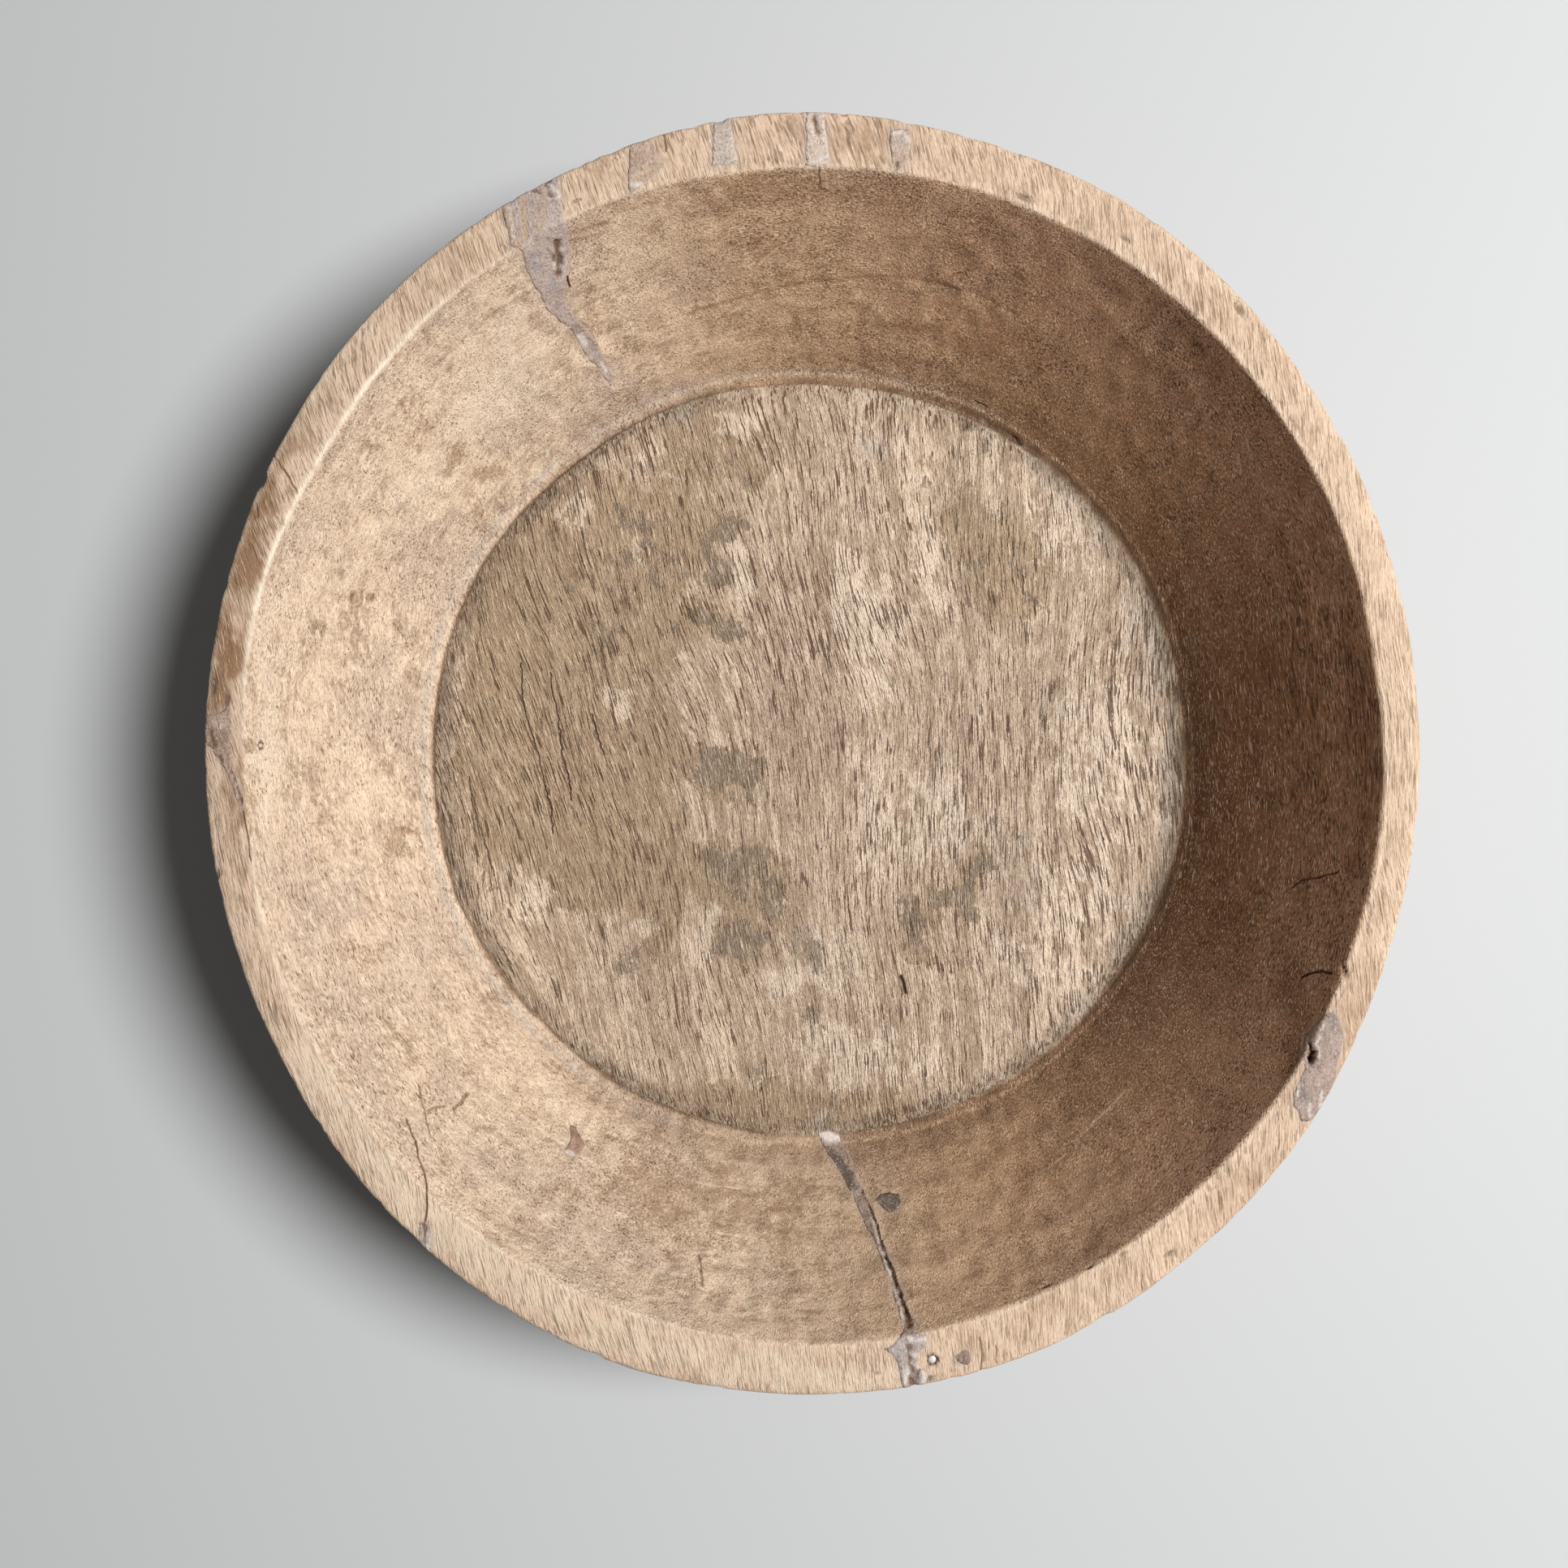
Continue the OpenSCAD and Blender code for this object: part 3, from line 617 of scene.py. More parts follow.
def filler_rings(node, pixels, seed):
    """Outlines of a filler; the fillers of the two splits come out on the outer wall as well."""
    seen = list(from_photo(pixels))
    if node == "upper_split_filler":
        return [rough_ring(seen + outside_places(UPPER_SPLIT_OUTSIDE), RING_STEP, seed)]
    rings = [rough_ring(seen, RING_STEP, seed)]
    if node == "lower_split_filler":
        rings.append(rough_ring(outside_places(LOWER_SPLIT_OUTSIDE), OUTSIDE_STEP, seed + 1))
    return rings


# Each filler: node, outline, thickness in millimetres.
FILLER_PLANS = [
    ("upper_split_filler", UPPER_SPLIT, 2.8),
    ("lower_split_filler", LOWER_SPLIT, 3.2),
    ("lower_rim_filler", LOWER_RIM, 2.4),
    ("corner_crack_filler", CORNER_CRACK, 2.2),
    ("rim_plug_1", PLUG_1, 2.2),
    ("rim_plug_2", PLUG_2, 2.2),
    ("rim_plug_3", PLUG_3, 2.2),
    ("rim_plug_4", PLUG_4, 2.2),
    ("right_rim_filler", RIGHT_RIM, 5.6),
    ("left_rim_filler", LEFT_RIM, 2.2),
    ("rim_dent_plug", HEART, 2.0),
    ("wall_spot_filler", SPOT, 2.0),
    ("wall_chip_filler", CHIP, 2.0),
]
FILLERS = [
    (node, filler_rings(node, pixels, RING_SEED + 2 * i), thick)
    for i, (node, pixels, thick) in enumerate(FILLER_PLANS)
]
CRACK_LINES = [
    (rough_line(from_photo(pixels), CRACK_STEP, CRACK_SHAKE, CRACK_SEED + i), width, deep)
    for i, (pixels, width, deep) in enumerate(CRACKS)
]
SCRATCH_LINES = [
    (rough_line(from_photo(pixels), SCRATCH_STEP, SCRATCH_SHAKE, SCRATCH_SEED + i), width, deep, tone)
    for i, (pixels, width, deep, tone) in enumerate(SCRATCHES)
]
CHIP_PLACES = from_photo([chip[:2] for chip in CHIPS])
NAIL_PLACE = from_photo([NAIL_AT])[0]
PIN_PLACE = from_photo([PIN_AT])[0]
# Holes of the nail and the pin: place, radius and depth in millimetres.
HOLES = [(NAIL_PLACE, 1.95, 1.2), (PIN_PLACE, 1.5, 1.2)]


def zones(v):
    """Shares of floor, wall, rim and outside at a way along the section."""
    floor = 1.0 - ease(v, V_FLOOR + 1.2, V_FLOOR + 3.6)
    out = ease(v, V_SIDE - 2.0, V_SIDE + 5.0)
    rim = ease(v, V_MOUTH - 1.0, V_LAND) * (1.0 - out)
    return floor, np.clip(1.0 - floor - out - rim, 0.0, 1.0), rim, out


# Gouge marks: how many round the bowl, length in millimetres, seed.
FINE_GOUGES, WIDE_GOUGES, OUTSIDE_GOUGES = (110, 21.0, 31), (58, 33.0, 32), (44, 38.0, 34)
# Swells of each zone: height and size in millimetres, seed.
WALL_SWELLS = [(0.75, 40.0, 22), (0.22, 11.0, 23)]
FLOOR_SWELLS = [(0.5, 52.0, 24), (0.16, (5.0, 40.0, 9.0), 25), (0.12, 8.0, 33)]
RIM_SWELLS = [(0.30, 24.0, 26), (0.12, 5.0, 27)]
OUTSIDE_SWELLS = [(0.7, 62.0, 35), (0.18, 9.0, 36)]
GROOVE_SWELLS = [(0.35, 7.0, 37), (0.2, 2.8, 38)]
FILLER_SWELLS = [(0.16, 4.5, 61), (0.10, 1.7, 62)]


def swells(points, rows):
    """Height of the swells that the rows give."""
    return sum(height * noise(points, size, seed) for height, size, seed in rows)


def wall_gouges(theta, v, points):
    """Depth of the wall's gouge marks: shallow on the right and near the mouth."""
    patchy = 0.45 + 0.55 * ease(noise(points, 46.0, 21), -0.4, 0.4)
    calm = 1.0 - 0.6 * facing(theta, 0.0, 0.3, 0.9)
    calm *= 1.0 - 0.7 * ease(v, V_MOUTH - 12.0, V_MOUTH - 2.0)
    fine = 1.3 * calm * patchy * gouges(theta, v, *FINE_GOUGES)
    return fine + 0.30 * (1.0 - patchy) * gouges(theta, v, *WIDE_GOUGES)


def edge_nicks(v, points):
    """Depth of the nicks along the rim's two edges."""
    edge = ridge(v, V_LAND, 2.4) + ridge(v, V_SIDE - 2.0, 2.6)
    nicks = ease(noise(points, 6.0, 28), 0.35, 0.85) + 0.6 * ease(noise(points, 2.6, 29), 0.45, 0.9)
    return edge * (0.55 * nicks + 0.3 * noise(points, 16.0, 30) ** 2)


def carved(theta, v, points):
    """Height of the carved surface over the plain one, before any crack or pocket."""
    floor, wall, rim, out = zones(v)
    steady = 1.0 - ease(v, V_CORNER - 14.0, V_CORNER)
    outside = swells(points, OUTSIDE_SWELLS) - 0.75 * gouges(theta, v, *OUTSIDE_GOUGES)
    height = wall * (swells(points, WALL_SWELLS) - wall_gouges(theta, v, points))
    height += floor * swells(points, FLOOR_SWELLS)
    height += rim * swells(points, RIM_SWELLS)
    height += out * steady * outside
    height += ridge(v, V_FLOOR + 3.0, 2.5) * swells(points, GROOVE_SWELLS)
    return height - edge_nicks(v, points)


def raise_to(field, which, values):
    """Lifts some of a field's numbers to the values that are higher."""
    field[which] = np.maximum(field[which], values)


def add_cracks(theta, v, radius, depth, dark, brown):
    """Sharp dark cracks with a brown rim."""
    for line, width, deep in CRACK_LINES:
        near, far = near_line(theta, v, radius, line, 3.0 * width)
        raise_to(depth, near, deep * np.clip(1.0 - far / width, 0.0, 1.0))
        raise_to(dark, near, min(deep, 1.0) * ease(1.5 - far / width, 0.0, 1.0))
        raise_to(brown, near, 0.7 * ease(3.0 - far / width, 0.0, 2.0))


def add_scratches(theta, v, radius, depth, pale, brown):
    """Soft lines, pale or brown by the sign of their tone."""
    for line, width, deep, tone in SCRATCH_LINES:
        near, far = near_line(theta, v, radius, line, 3.0 * width)
        cut = ease(1.0 - far / (1.6 * width), 0.0, 1.0)
        raise_to(depth, near, deep * cut)
        raise_to(pale if tone > 0 else brown, near, abs(tone) * cut)


def add_chips(theta, v, radius, depth, dark):
    """Long rounded hollows."""
    for (ta, va), (_, _, length, width, turn, deep) in zip(CHIP_PLACES, CHIPS):
        near = close_to(theta, v, radius, np.array([(ta, va)]), 2.5 * length)
        x, y = radius[near] * wrap(theta[near] - ta), v[near] - va
        # On the unrolled surface +x runs round the bowl and +y outwards.
        tilt = math.pi / 2 - math.radians(turn) + ta
        along = x * math.cos(tilt) + y * math.sin(tilt)
        across = -x * math.sin(tilt) + y * math.cos(tilt)
        cut = ease(1.2 - np.hypot(along / length, across / width), 0.0, 1.0)
        raise_to(depth, near, deep * cut)
        raise_to(dark, near, 0.6 * cut)


def add_holes(theta, v, radius, depth, dark):
    """Round holes for the nail and the pin."""
    for (ta, va), size, deep in HOLES:
        far = np.hypot(radius * wrap(theta - ta), v - va)
        raise_to(depth, slice(None), deep * ease(1.15 - far / size, 0.0, 0.3))
        raise_to(dark, slice(None), ease(1.3 - far / size, 0.0, 0.3))


def damage(theta, v, radius):
    """Depth of cracks, chips and scratches, and how dark, pale or brown each makes the wood."""
    depth, dark, pale, brown = np.zeros((4, len(theta)))
    add_cracks(theta, v, radius, depth, dark, brown)
    add_scratches(theta, v, radius, depth, pale, brown)
    add_chips(theta, v, radius, depth, dark)
    add_holes(theta, v, radius, depth, dark)
    return depth, dark, pale, brown


# Pockets: how much deeper than its filler each is, and its edge's slope from and to, in millimetres.
POCKET_ROOM, POCKET_SLOPE = 0.4, (0.45, 1.2)
POCKET_REACH, FEATURE_REACH, FAR = 8.0, 14.0, 99.0


def pockets(theta, v, radius):
    """Depth of the hollows that hold the fillers, and the distance to their edges."""
    depth, seam = np.zeros(len(theta)), np.full(len(theta), FAR)
    for _, rings, thick in FILLERS:
        for ring in rings:
            near, far = near_line(theta, v, radius, closed(ring), POCKET_REACH)
            seam[near] = np.minimum(seam[near], far)
            hollow = (thick + POCKET_ROOM) * ease(far, *POCKET_SLOPE)
            raise_to(depth, near, np.where(inside(theta[near], v[near], ring), hollow, 0.0))
    return depth, seam


# Marks without a sharp edge count as lying this much farther away.
SOFT_SLACK = 1.2


def dot(place):
    """Line with hardly any length."""
    return np.array([place, place + 1e-6])


def fine_lines():
    """Lines that need a fine mesh, each with its slack."""
    lines = [(line, 0.0) for line, *_ in CRACK_LINES]
    lines += [(line, SOFT_SLACK) for line, *_ in SCRATCH_LINES]
    lines += [(closed(ring), 0.0) for _, rings, _ in FILLERS for ring in rings]
    lines += [(dot(place), SOFT_SLACK) for place in CHIP_PLACES]
    return lines + [(dot(place), 0.0) for place, *_ in HOLES]


def feature_distance(theta, v, radius):
    """Distance to the nearest line that needs a fine mesh."""
    best = np.full(len(theta), FAR)
    for line, slack in fine_lines():
        near, far = near_line(theta, v, radius, line, FEATURE_REACH)
        best[near] = np.minimum(best[near], slack + far)
    return best


# Sizes of the body's faces in millimetres along its section: way, size along, size around.
FACE_SIZES = np.array([
    (0.0, 3.4, 3.4), (V_FLOOR - 10, 3.4, 3.4), (V_FLOOR - 6, 2.0, 3.0), (V_FLOOR, 0.9, 2.8),
    (V_FOOT + 5, 0.9, 2.8), (V_FOOT + 9, 3.2, 3.4), (V_MOUTH - 6, 3.2, 3.4), (V_MOUTH - 1, 1.1, 2.4),
    (V_LAND + 1, 1.1, 2.4), (V_LAND + 4, 2.9, 2.9), (V_OUTER - 3, 2.9, 2.9), (V_OUTER, 1.3, 2.6),
    (V_SIDE, 1.5, 2.8), (V_SIDE + 6, 5.0, 5.0), (V_CORNER - 8, 6.0, 6.0), (V_CORNER, 3.5, 6.0),
    (V_BASE, 4.0, 6.0), (V_BASE + 12, 14.0, 14.0), (V_END, 14.0, 14.0),
])
# Near a fine line: size of the faces, and how much it grows with the distance.
FINE_FACE, FINE_GROWTH = 0.55, 0.9
# Whole numbers that stand for the full turn and for the full way along the section.
GRID = 1 << 16
ROOT_COLUMNS, ROOT_ROWS = 16, 16


def grid_angle(u):
    """Angle at a grid number."""
    return u / GRID * TURN


def grid_way(k):
    """Way along the section at a grid number."""
    return POLE_R + k / GRID * (V_END - POLE_R)


def face_limit(column, ways, far):
    """Largest size of faces at some ways along the section and at a distance to fine lines."""
    sizes = [np.interp(way, FACE_SIZES[:, 0], FACE_SIZES[:, column]) for way in ways]
    return np.minimum(np.min(sizes, axis=0), FINE_FACE + FINE_GROWTH * far)


def cut_cells(cells, split_u, split_k):
    """Cells cut in four, or in two around or along the section; the other cells are left out."""
    a, b, c, d = cells[split_u & split_k].T
    m, n = (a + b) // 2, (c + d) // 2
    parts = [(a, m, c, n), (m, b, c, n), (a, m, n, d), (m, b, n, d)]
    a, b, c, d = cells[split_u & ~split_k].T
    m = (a + b) // 2
    parts += [(a, m, c, d), (m, b, c, d)]
    a, b, c, d = cells[~split_u & split_k].T
    n = (c + d) // 2
    parts += [(a, b, c, n), (a, b, n, d)]
    return np.concatenate([np.stack(part, axis=1) for part in parts])


def body_cells():
    """Rectangles of the unrolled surface, small where the surface has fine detail."""
    us = np.linspace(0, GRID, ROOT_COLUMNS + 1).astype(np.int64)
    ks = np.linspace(0, GRID, ROOT_ROWS + 1).astype(np.int64)
    cells = np.array([(a, b, c, d) for a, b in zip(us[:-1], us[1:]) for c, d in zip(ks[:-1], ks[1:])])
    done = []
    while len(cells):
        u0, u1, k0, k1 = cells.T
        theta = grid_angle((u0 + u1) / 2)
        ways = v, low, high = grid_way((k0 + k1) / 2), grid_way(k0), grid_way(k1)
        wide_at = np.maximum(section(theta, low)[0], section(theta, high)[0])
        wide, tall = wide_at * grid_angle(u1 - u0), (k1 - k0) / GRID * (V_END - POLE_R)
        far = np.maximum(feature_distance(theta, v, wide_at) - np.hypot(wide, tall) / 2, 0.0)
        split_u = wide > face_limit(2, ways, far)
        split_k = tall > face_limit(1, ways, far)
        done.append(cells[~split_u & ~split_k])
        cells = cut_cells(cells, split_u, split_k)
    return np.concatenate(done)


def body_faces(cells):
    """Corner places and faces of a closed mesh made from the cells."""
    corners = {}
    rows, columns = {}, {}

    def corner(u, k):
        key = (int(u) % GRID, int(k))
        if key not in corners:
            corners[key] = len(corners)
            rows.setdefault(key[1], []).append(key[0])
            columns.setdefault(key[0], []).append(key[1])
        return corners[key]

    for u0, u1, k0, k1 in cells.tolist():
        for u, k in ((u0, k0), (u0, k1), (u1, k0), (u1, k1)):
            corner(u, k)
    for line in list(rows.values()) + list(columns.values()):
        line.sort()

    def between(line, low, high):
        return line[bisect.bisect_right(line, low):bisect.bisect_left(line, high)]

    faces = []
    for u0, u1, k0, k1 in cells.tolist():
        face = [(u0, k0)] + [(u0, k) for k in between(columns[u0], k0, k1)] + [(u0, k1)]
        face += [(u, k1) for u in between(rows[k1], u0, u1)] + [(u1, k1)]
        face += [(u1, k) for k in reversed(between(columns[u1 % GRID], k0, k1))] + [(u1, k0)]
        face += [(u, k0) for u in reversed(between(rows[k0], u0, u1))]
        faces.append([corners[(u % GRID, k)] for u, k in face])
    faces.append([corners[(u, 0)] for u in rows[0]])
    faces.append([corners[(u, GRID)] for u in reversed(rows[GRID])])
    places = np.array(list(corners))
    return grid_angle(places[:, 0]), grid_way(places[:, 1]), faces


def blob_field(pixels, blobs):
    """Highest of the rounded patches at each pixel: half its amount on a patch's edge."""
    best = np.zeros(len(pixels))
    for cx, cy, rx, ry, turn, amount in blobs:
        dx, dy = pixels[:, 0] - cx, pixels[:, 1] - cy
        c, s = math.cos(math.radians(turn)), math.sin(math.radians(turn))
        q = ((dx * c + dy * s) / rx) ** 2 + ((dy * c - dx * s) / ry) ** 2
        best = np.maximum(best, amount / (1.0 + q * q))
    return best


def depth_within(points, ring):
    """Distance of flat points to a closed ring: positive inside it and negative outside."""
    ring = np.asarray(ring, float)
    far, within = np.full(len(points), np.inf), np.zeros(len(points), bool)
    for start, end in zip(ring, np.roll(ring, -1, axis=0)):
        side, away = end - start, points - start
        t = np.clip(away @ side / (side @ side), 0.0, 1.0)
        far = np.minimum(far, np.hypot(*(away - t[:, None] * side).T))
        passes = (points[:, 1] < start[1]) != (points[:, 1] < end[1])
        left = (away[:, 0] * side[1] < away[:, 1] * side[0]) != (side[1] < 0)
        within ^= passes & left
    return np.where(within, far, -far)


def skin_field(pixels):
    """How far each pixel lies in the floor's old skin: 0.5 on its edge."""
    depth = np.max([depth_within(pixels, ring) for ring in OLD_SKIN], axis=0)
    return np.clip(0.5 + depth / SKIN_RAMP_PX, SKIN_LEAST, SKIN_MOST)


def scene_object(name, data):
    """An object in the scene that shows the data."""
    made = bpy.data.objects.new(name, data)
    bpy.context.scene.collection.objects.link(made)
    return made


def mesh_object(name, points, faces):
    """A smooth mesh in the scene, from points in millimetres."""
    mesh = bpy.data.meshes.new(name)
    mesh.from_pydata((points * MM).tolist(), [], faces)
    mesh.polygons.foreach_set("use_smooth", [True] * len(mesh.polygons))
    mesh.validate()
    mesh.update()
    return scene_object(name, mesh)


def paint(piece, name, red, green, blue, alpha):
    """Four values at each corner of a mesh, for its material to read."""
    layer = piece.data.attributes.new(name, "FLOAT_COLOR", "POINT")
    layer.data.foreach_set("color", np.stack([red, green, blue, alpha], axis=1).astype(np.float32).ravel())


# Stains get ragged edges by a noise: its reach in pixels, size in millimetres and seeds.
RAGGED_PX, RAGGED_SIZE, RAGGED_SEEDS = 25.0, 12.0, (71, 72)
# The outside is darkened by cracks only this far below the rim's edge.
DARK_REACH = 30.0


def edge_wear_and_highlight(theta, v):
    """Pale wear and a painted highlight on the rim's two edges, strongest at the upper left, which faces the
    lamp.
    """
    wear_and_painted_light = 1.3 * ridge(v, V_LAND - 1.4, 1.5) + 0.5 * ridge(v, V_OUTER + 2.0, 1.8)
    upper_left, lower_left = facing(theta, 152.0, 0.88, 0.97), facing(theta, 200.0, 0.97, 1.0)
    return wear_and_painted_light * (0.15 + 0.85 * upper_left + 0.4 * lower_left)


def painted_groove_shadow(v, points, shade):
    """Painted shadow in the groove round the floor, wider on the side away from the lamp."""
    dark = ridge(v, V_FLOOR + 3.2 + 0.6 * shade, 1.0 + 2.4 * shade**2)
    return np.clip(dark * (0.7 + 0.5 * noise(points, 9.0, 51)) * (0.55 + 0.75 * shade), 0, 1)


def floor_edge_grey_and_shade(theta, v, points):
    """Dark grey band along the floor's edge, strongest on the left and the right; on the left it is painted
    shade of the rolled edge.
    """
    side = 0.3 + 0.7 * np.abs(np.cos(theta)) ** 1.3 + 0.3 * ease(-np.sin(theta), 0.4, 1.0)
    edge = ease(v, V_FLOOR - 9.0, V_FLOOR - 1.5) * (1.0 - ease(v, V_FLOOR + 0.8, V_FLOOR + 2.6))
    return np.clip(edge * side * (0.8 + 0.5 * noise(points, 14.0, 52)), 0, 1)


def wall_shade_and_patches(theta, rise, pixels):
    """Painted shade at the foot of the wall, reaching higher up on the right away from the lamp, and two dark
    patches by the pit.
    """
    foot = (1.0 - ease(rise, 0.0, 0.24)) * facing(theta, 0.0, -1.0, -0.3)
    foot *= 0.3 + 0.2 * ease(-np.sin(theta), -0.2, 0.6)
    right = np.clip(1.0 - rise / 0.85, 0.0, 1.0) * facing(theta, -12.0, 0.58, 1.0)
    return np.max([foot, right, blob_field(pixels, RIGHT_WALL_DARK_BLOBS)], axis=0)


def foot_ledge(theta, v, points):
    """Grey ledge along the foot of the wall, on the left and at the top."""
    band = ridge(v, V_FOOT + 0.5, 2.4)
    ledge = band * ease(-np.cos(theta), 0.0, 0.9) * (0.9 + 0.7 * noise(points, 7.0, 53))
    return np.clip(ledge + 0.6 * band * ease(np.sin(theta), 0.8, 1.0), 0, 1)


def make_bowl():
    """The wooden body as one closed mesh, with the masks that its material reads."""
    theta, v, faces = body_faces(body_cells())
    plain = plain_points(theta, v)
    radius = np.hypot(plain[:, 0], plain[:, 1])
    hurt, dark, pale, brown = damage(theta, v, radius)
    pocket, seam = pockets(theta, v, radius)
    height = carved(theta, v, plain) - np.maximum(hurt, pocket)
    points = plain + plain_normals(theta, v) * height[:, None]
    points[:, 2] = np.maximum(points[:, 2], 0.0)
    piece = mesh_object("bowl", points, faces)

    ragged = np.stack([rough_noise(plain, RAGGED_SIZE, seed) for seed in RAGGED_SEEDS], axis=1)
    pixels = to_photo(plain) + RAGGED_PX * ragged
    floor, wall, rim, out = zones(v)
    inner = v < V_SIDE
    stains_and_shade = [blob_field(pixels, blobs) * inner for blobs in (PALE_BLOBS, GREY_BLOBS, BROWN_AND_SHADE_BLOBS)]
    crust = blob_field(pixels, CRUST_BLOBS) * floor
    dark = np.clip(dark, 0, 1) * (v < V_SIDE + DARK_REACH)
    # Painted shade: share of dark brown on the wall that faces away from the lamp.
    shade = facing(theta, 10.0, -0.5, 1.0)
    rise = portion(v, V_FOOT, V_MOUTH)
    # Painted shade at the wall's foot and up the side away from the lamp, with two dark patches.
    foot = wall_shade_and_patches(theta, rise, pixels) * wall
    near_seam = ease(2.4 - seam, 0.0, 2.2)
    paint(piece, "zone", floor, wall, rim, out)
    # The last of these holds brown stains with painted shade on the left rim's outer edge and below the mouth
    # at the top right.
    paint(piece, "tint", crust, stains_and_shade[0], stains_and_shade[1], np.maximum(stains_and_shade[2], brown))
    # Worn edges with a painted highlight, cracks, painted shadow in the groove, and painted shade on the
    # wall.
    paint(piece, "wear_and_painted_light", edge_wear_and_highlight(theta, v), dark, painted_groove_shadow(v, plain, shade), shade * wall)
    paint(piece, "mark", pale, near_seam, floor_edge_grey_and_shade(theta, v, plain), skin_field(pixels))
    paint(piece, "form", gouges(theta, v, *FINE_GOUGES), rise, foot, foot_ledge(theta, v, plain))
    return piece


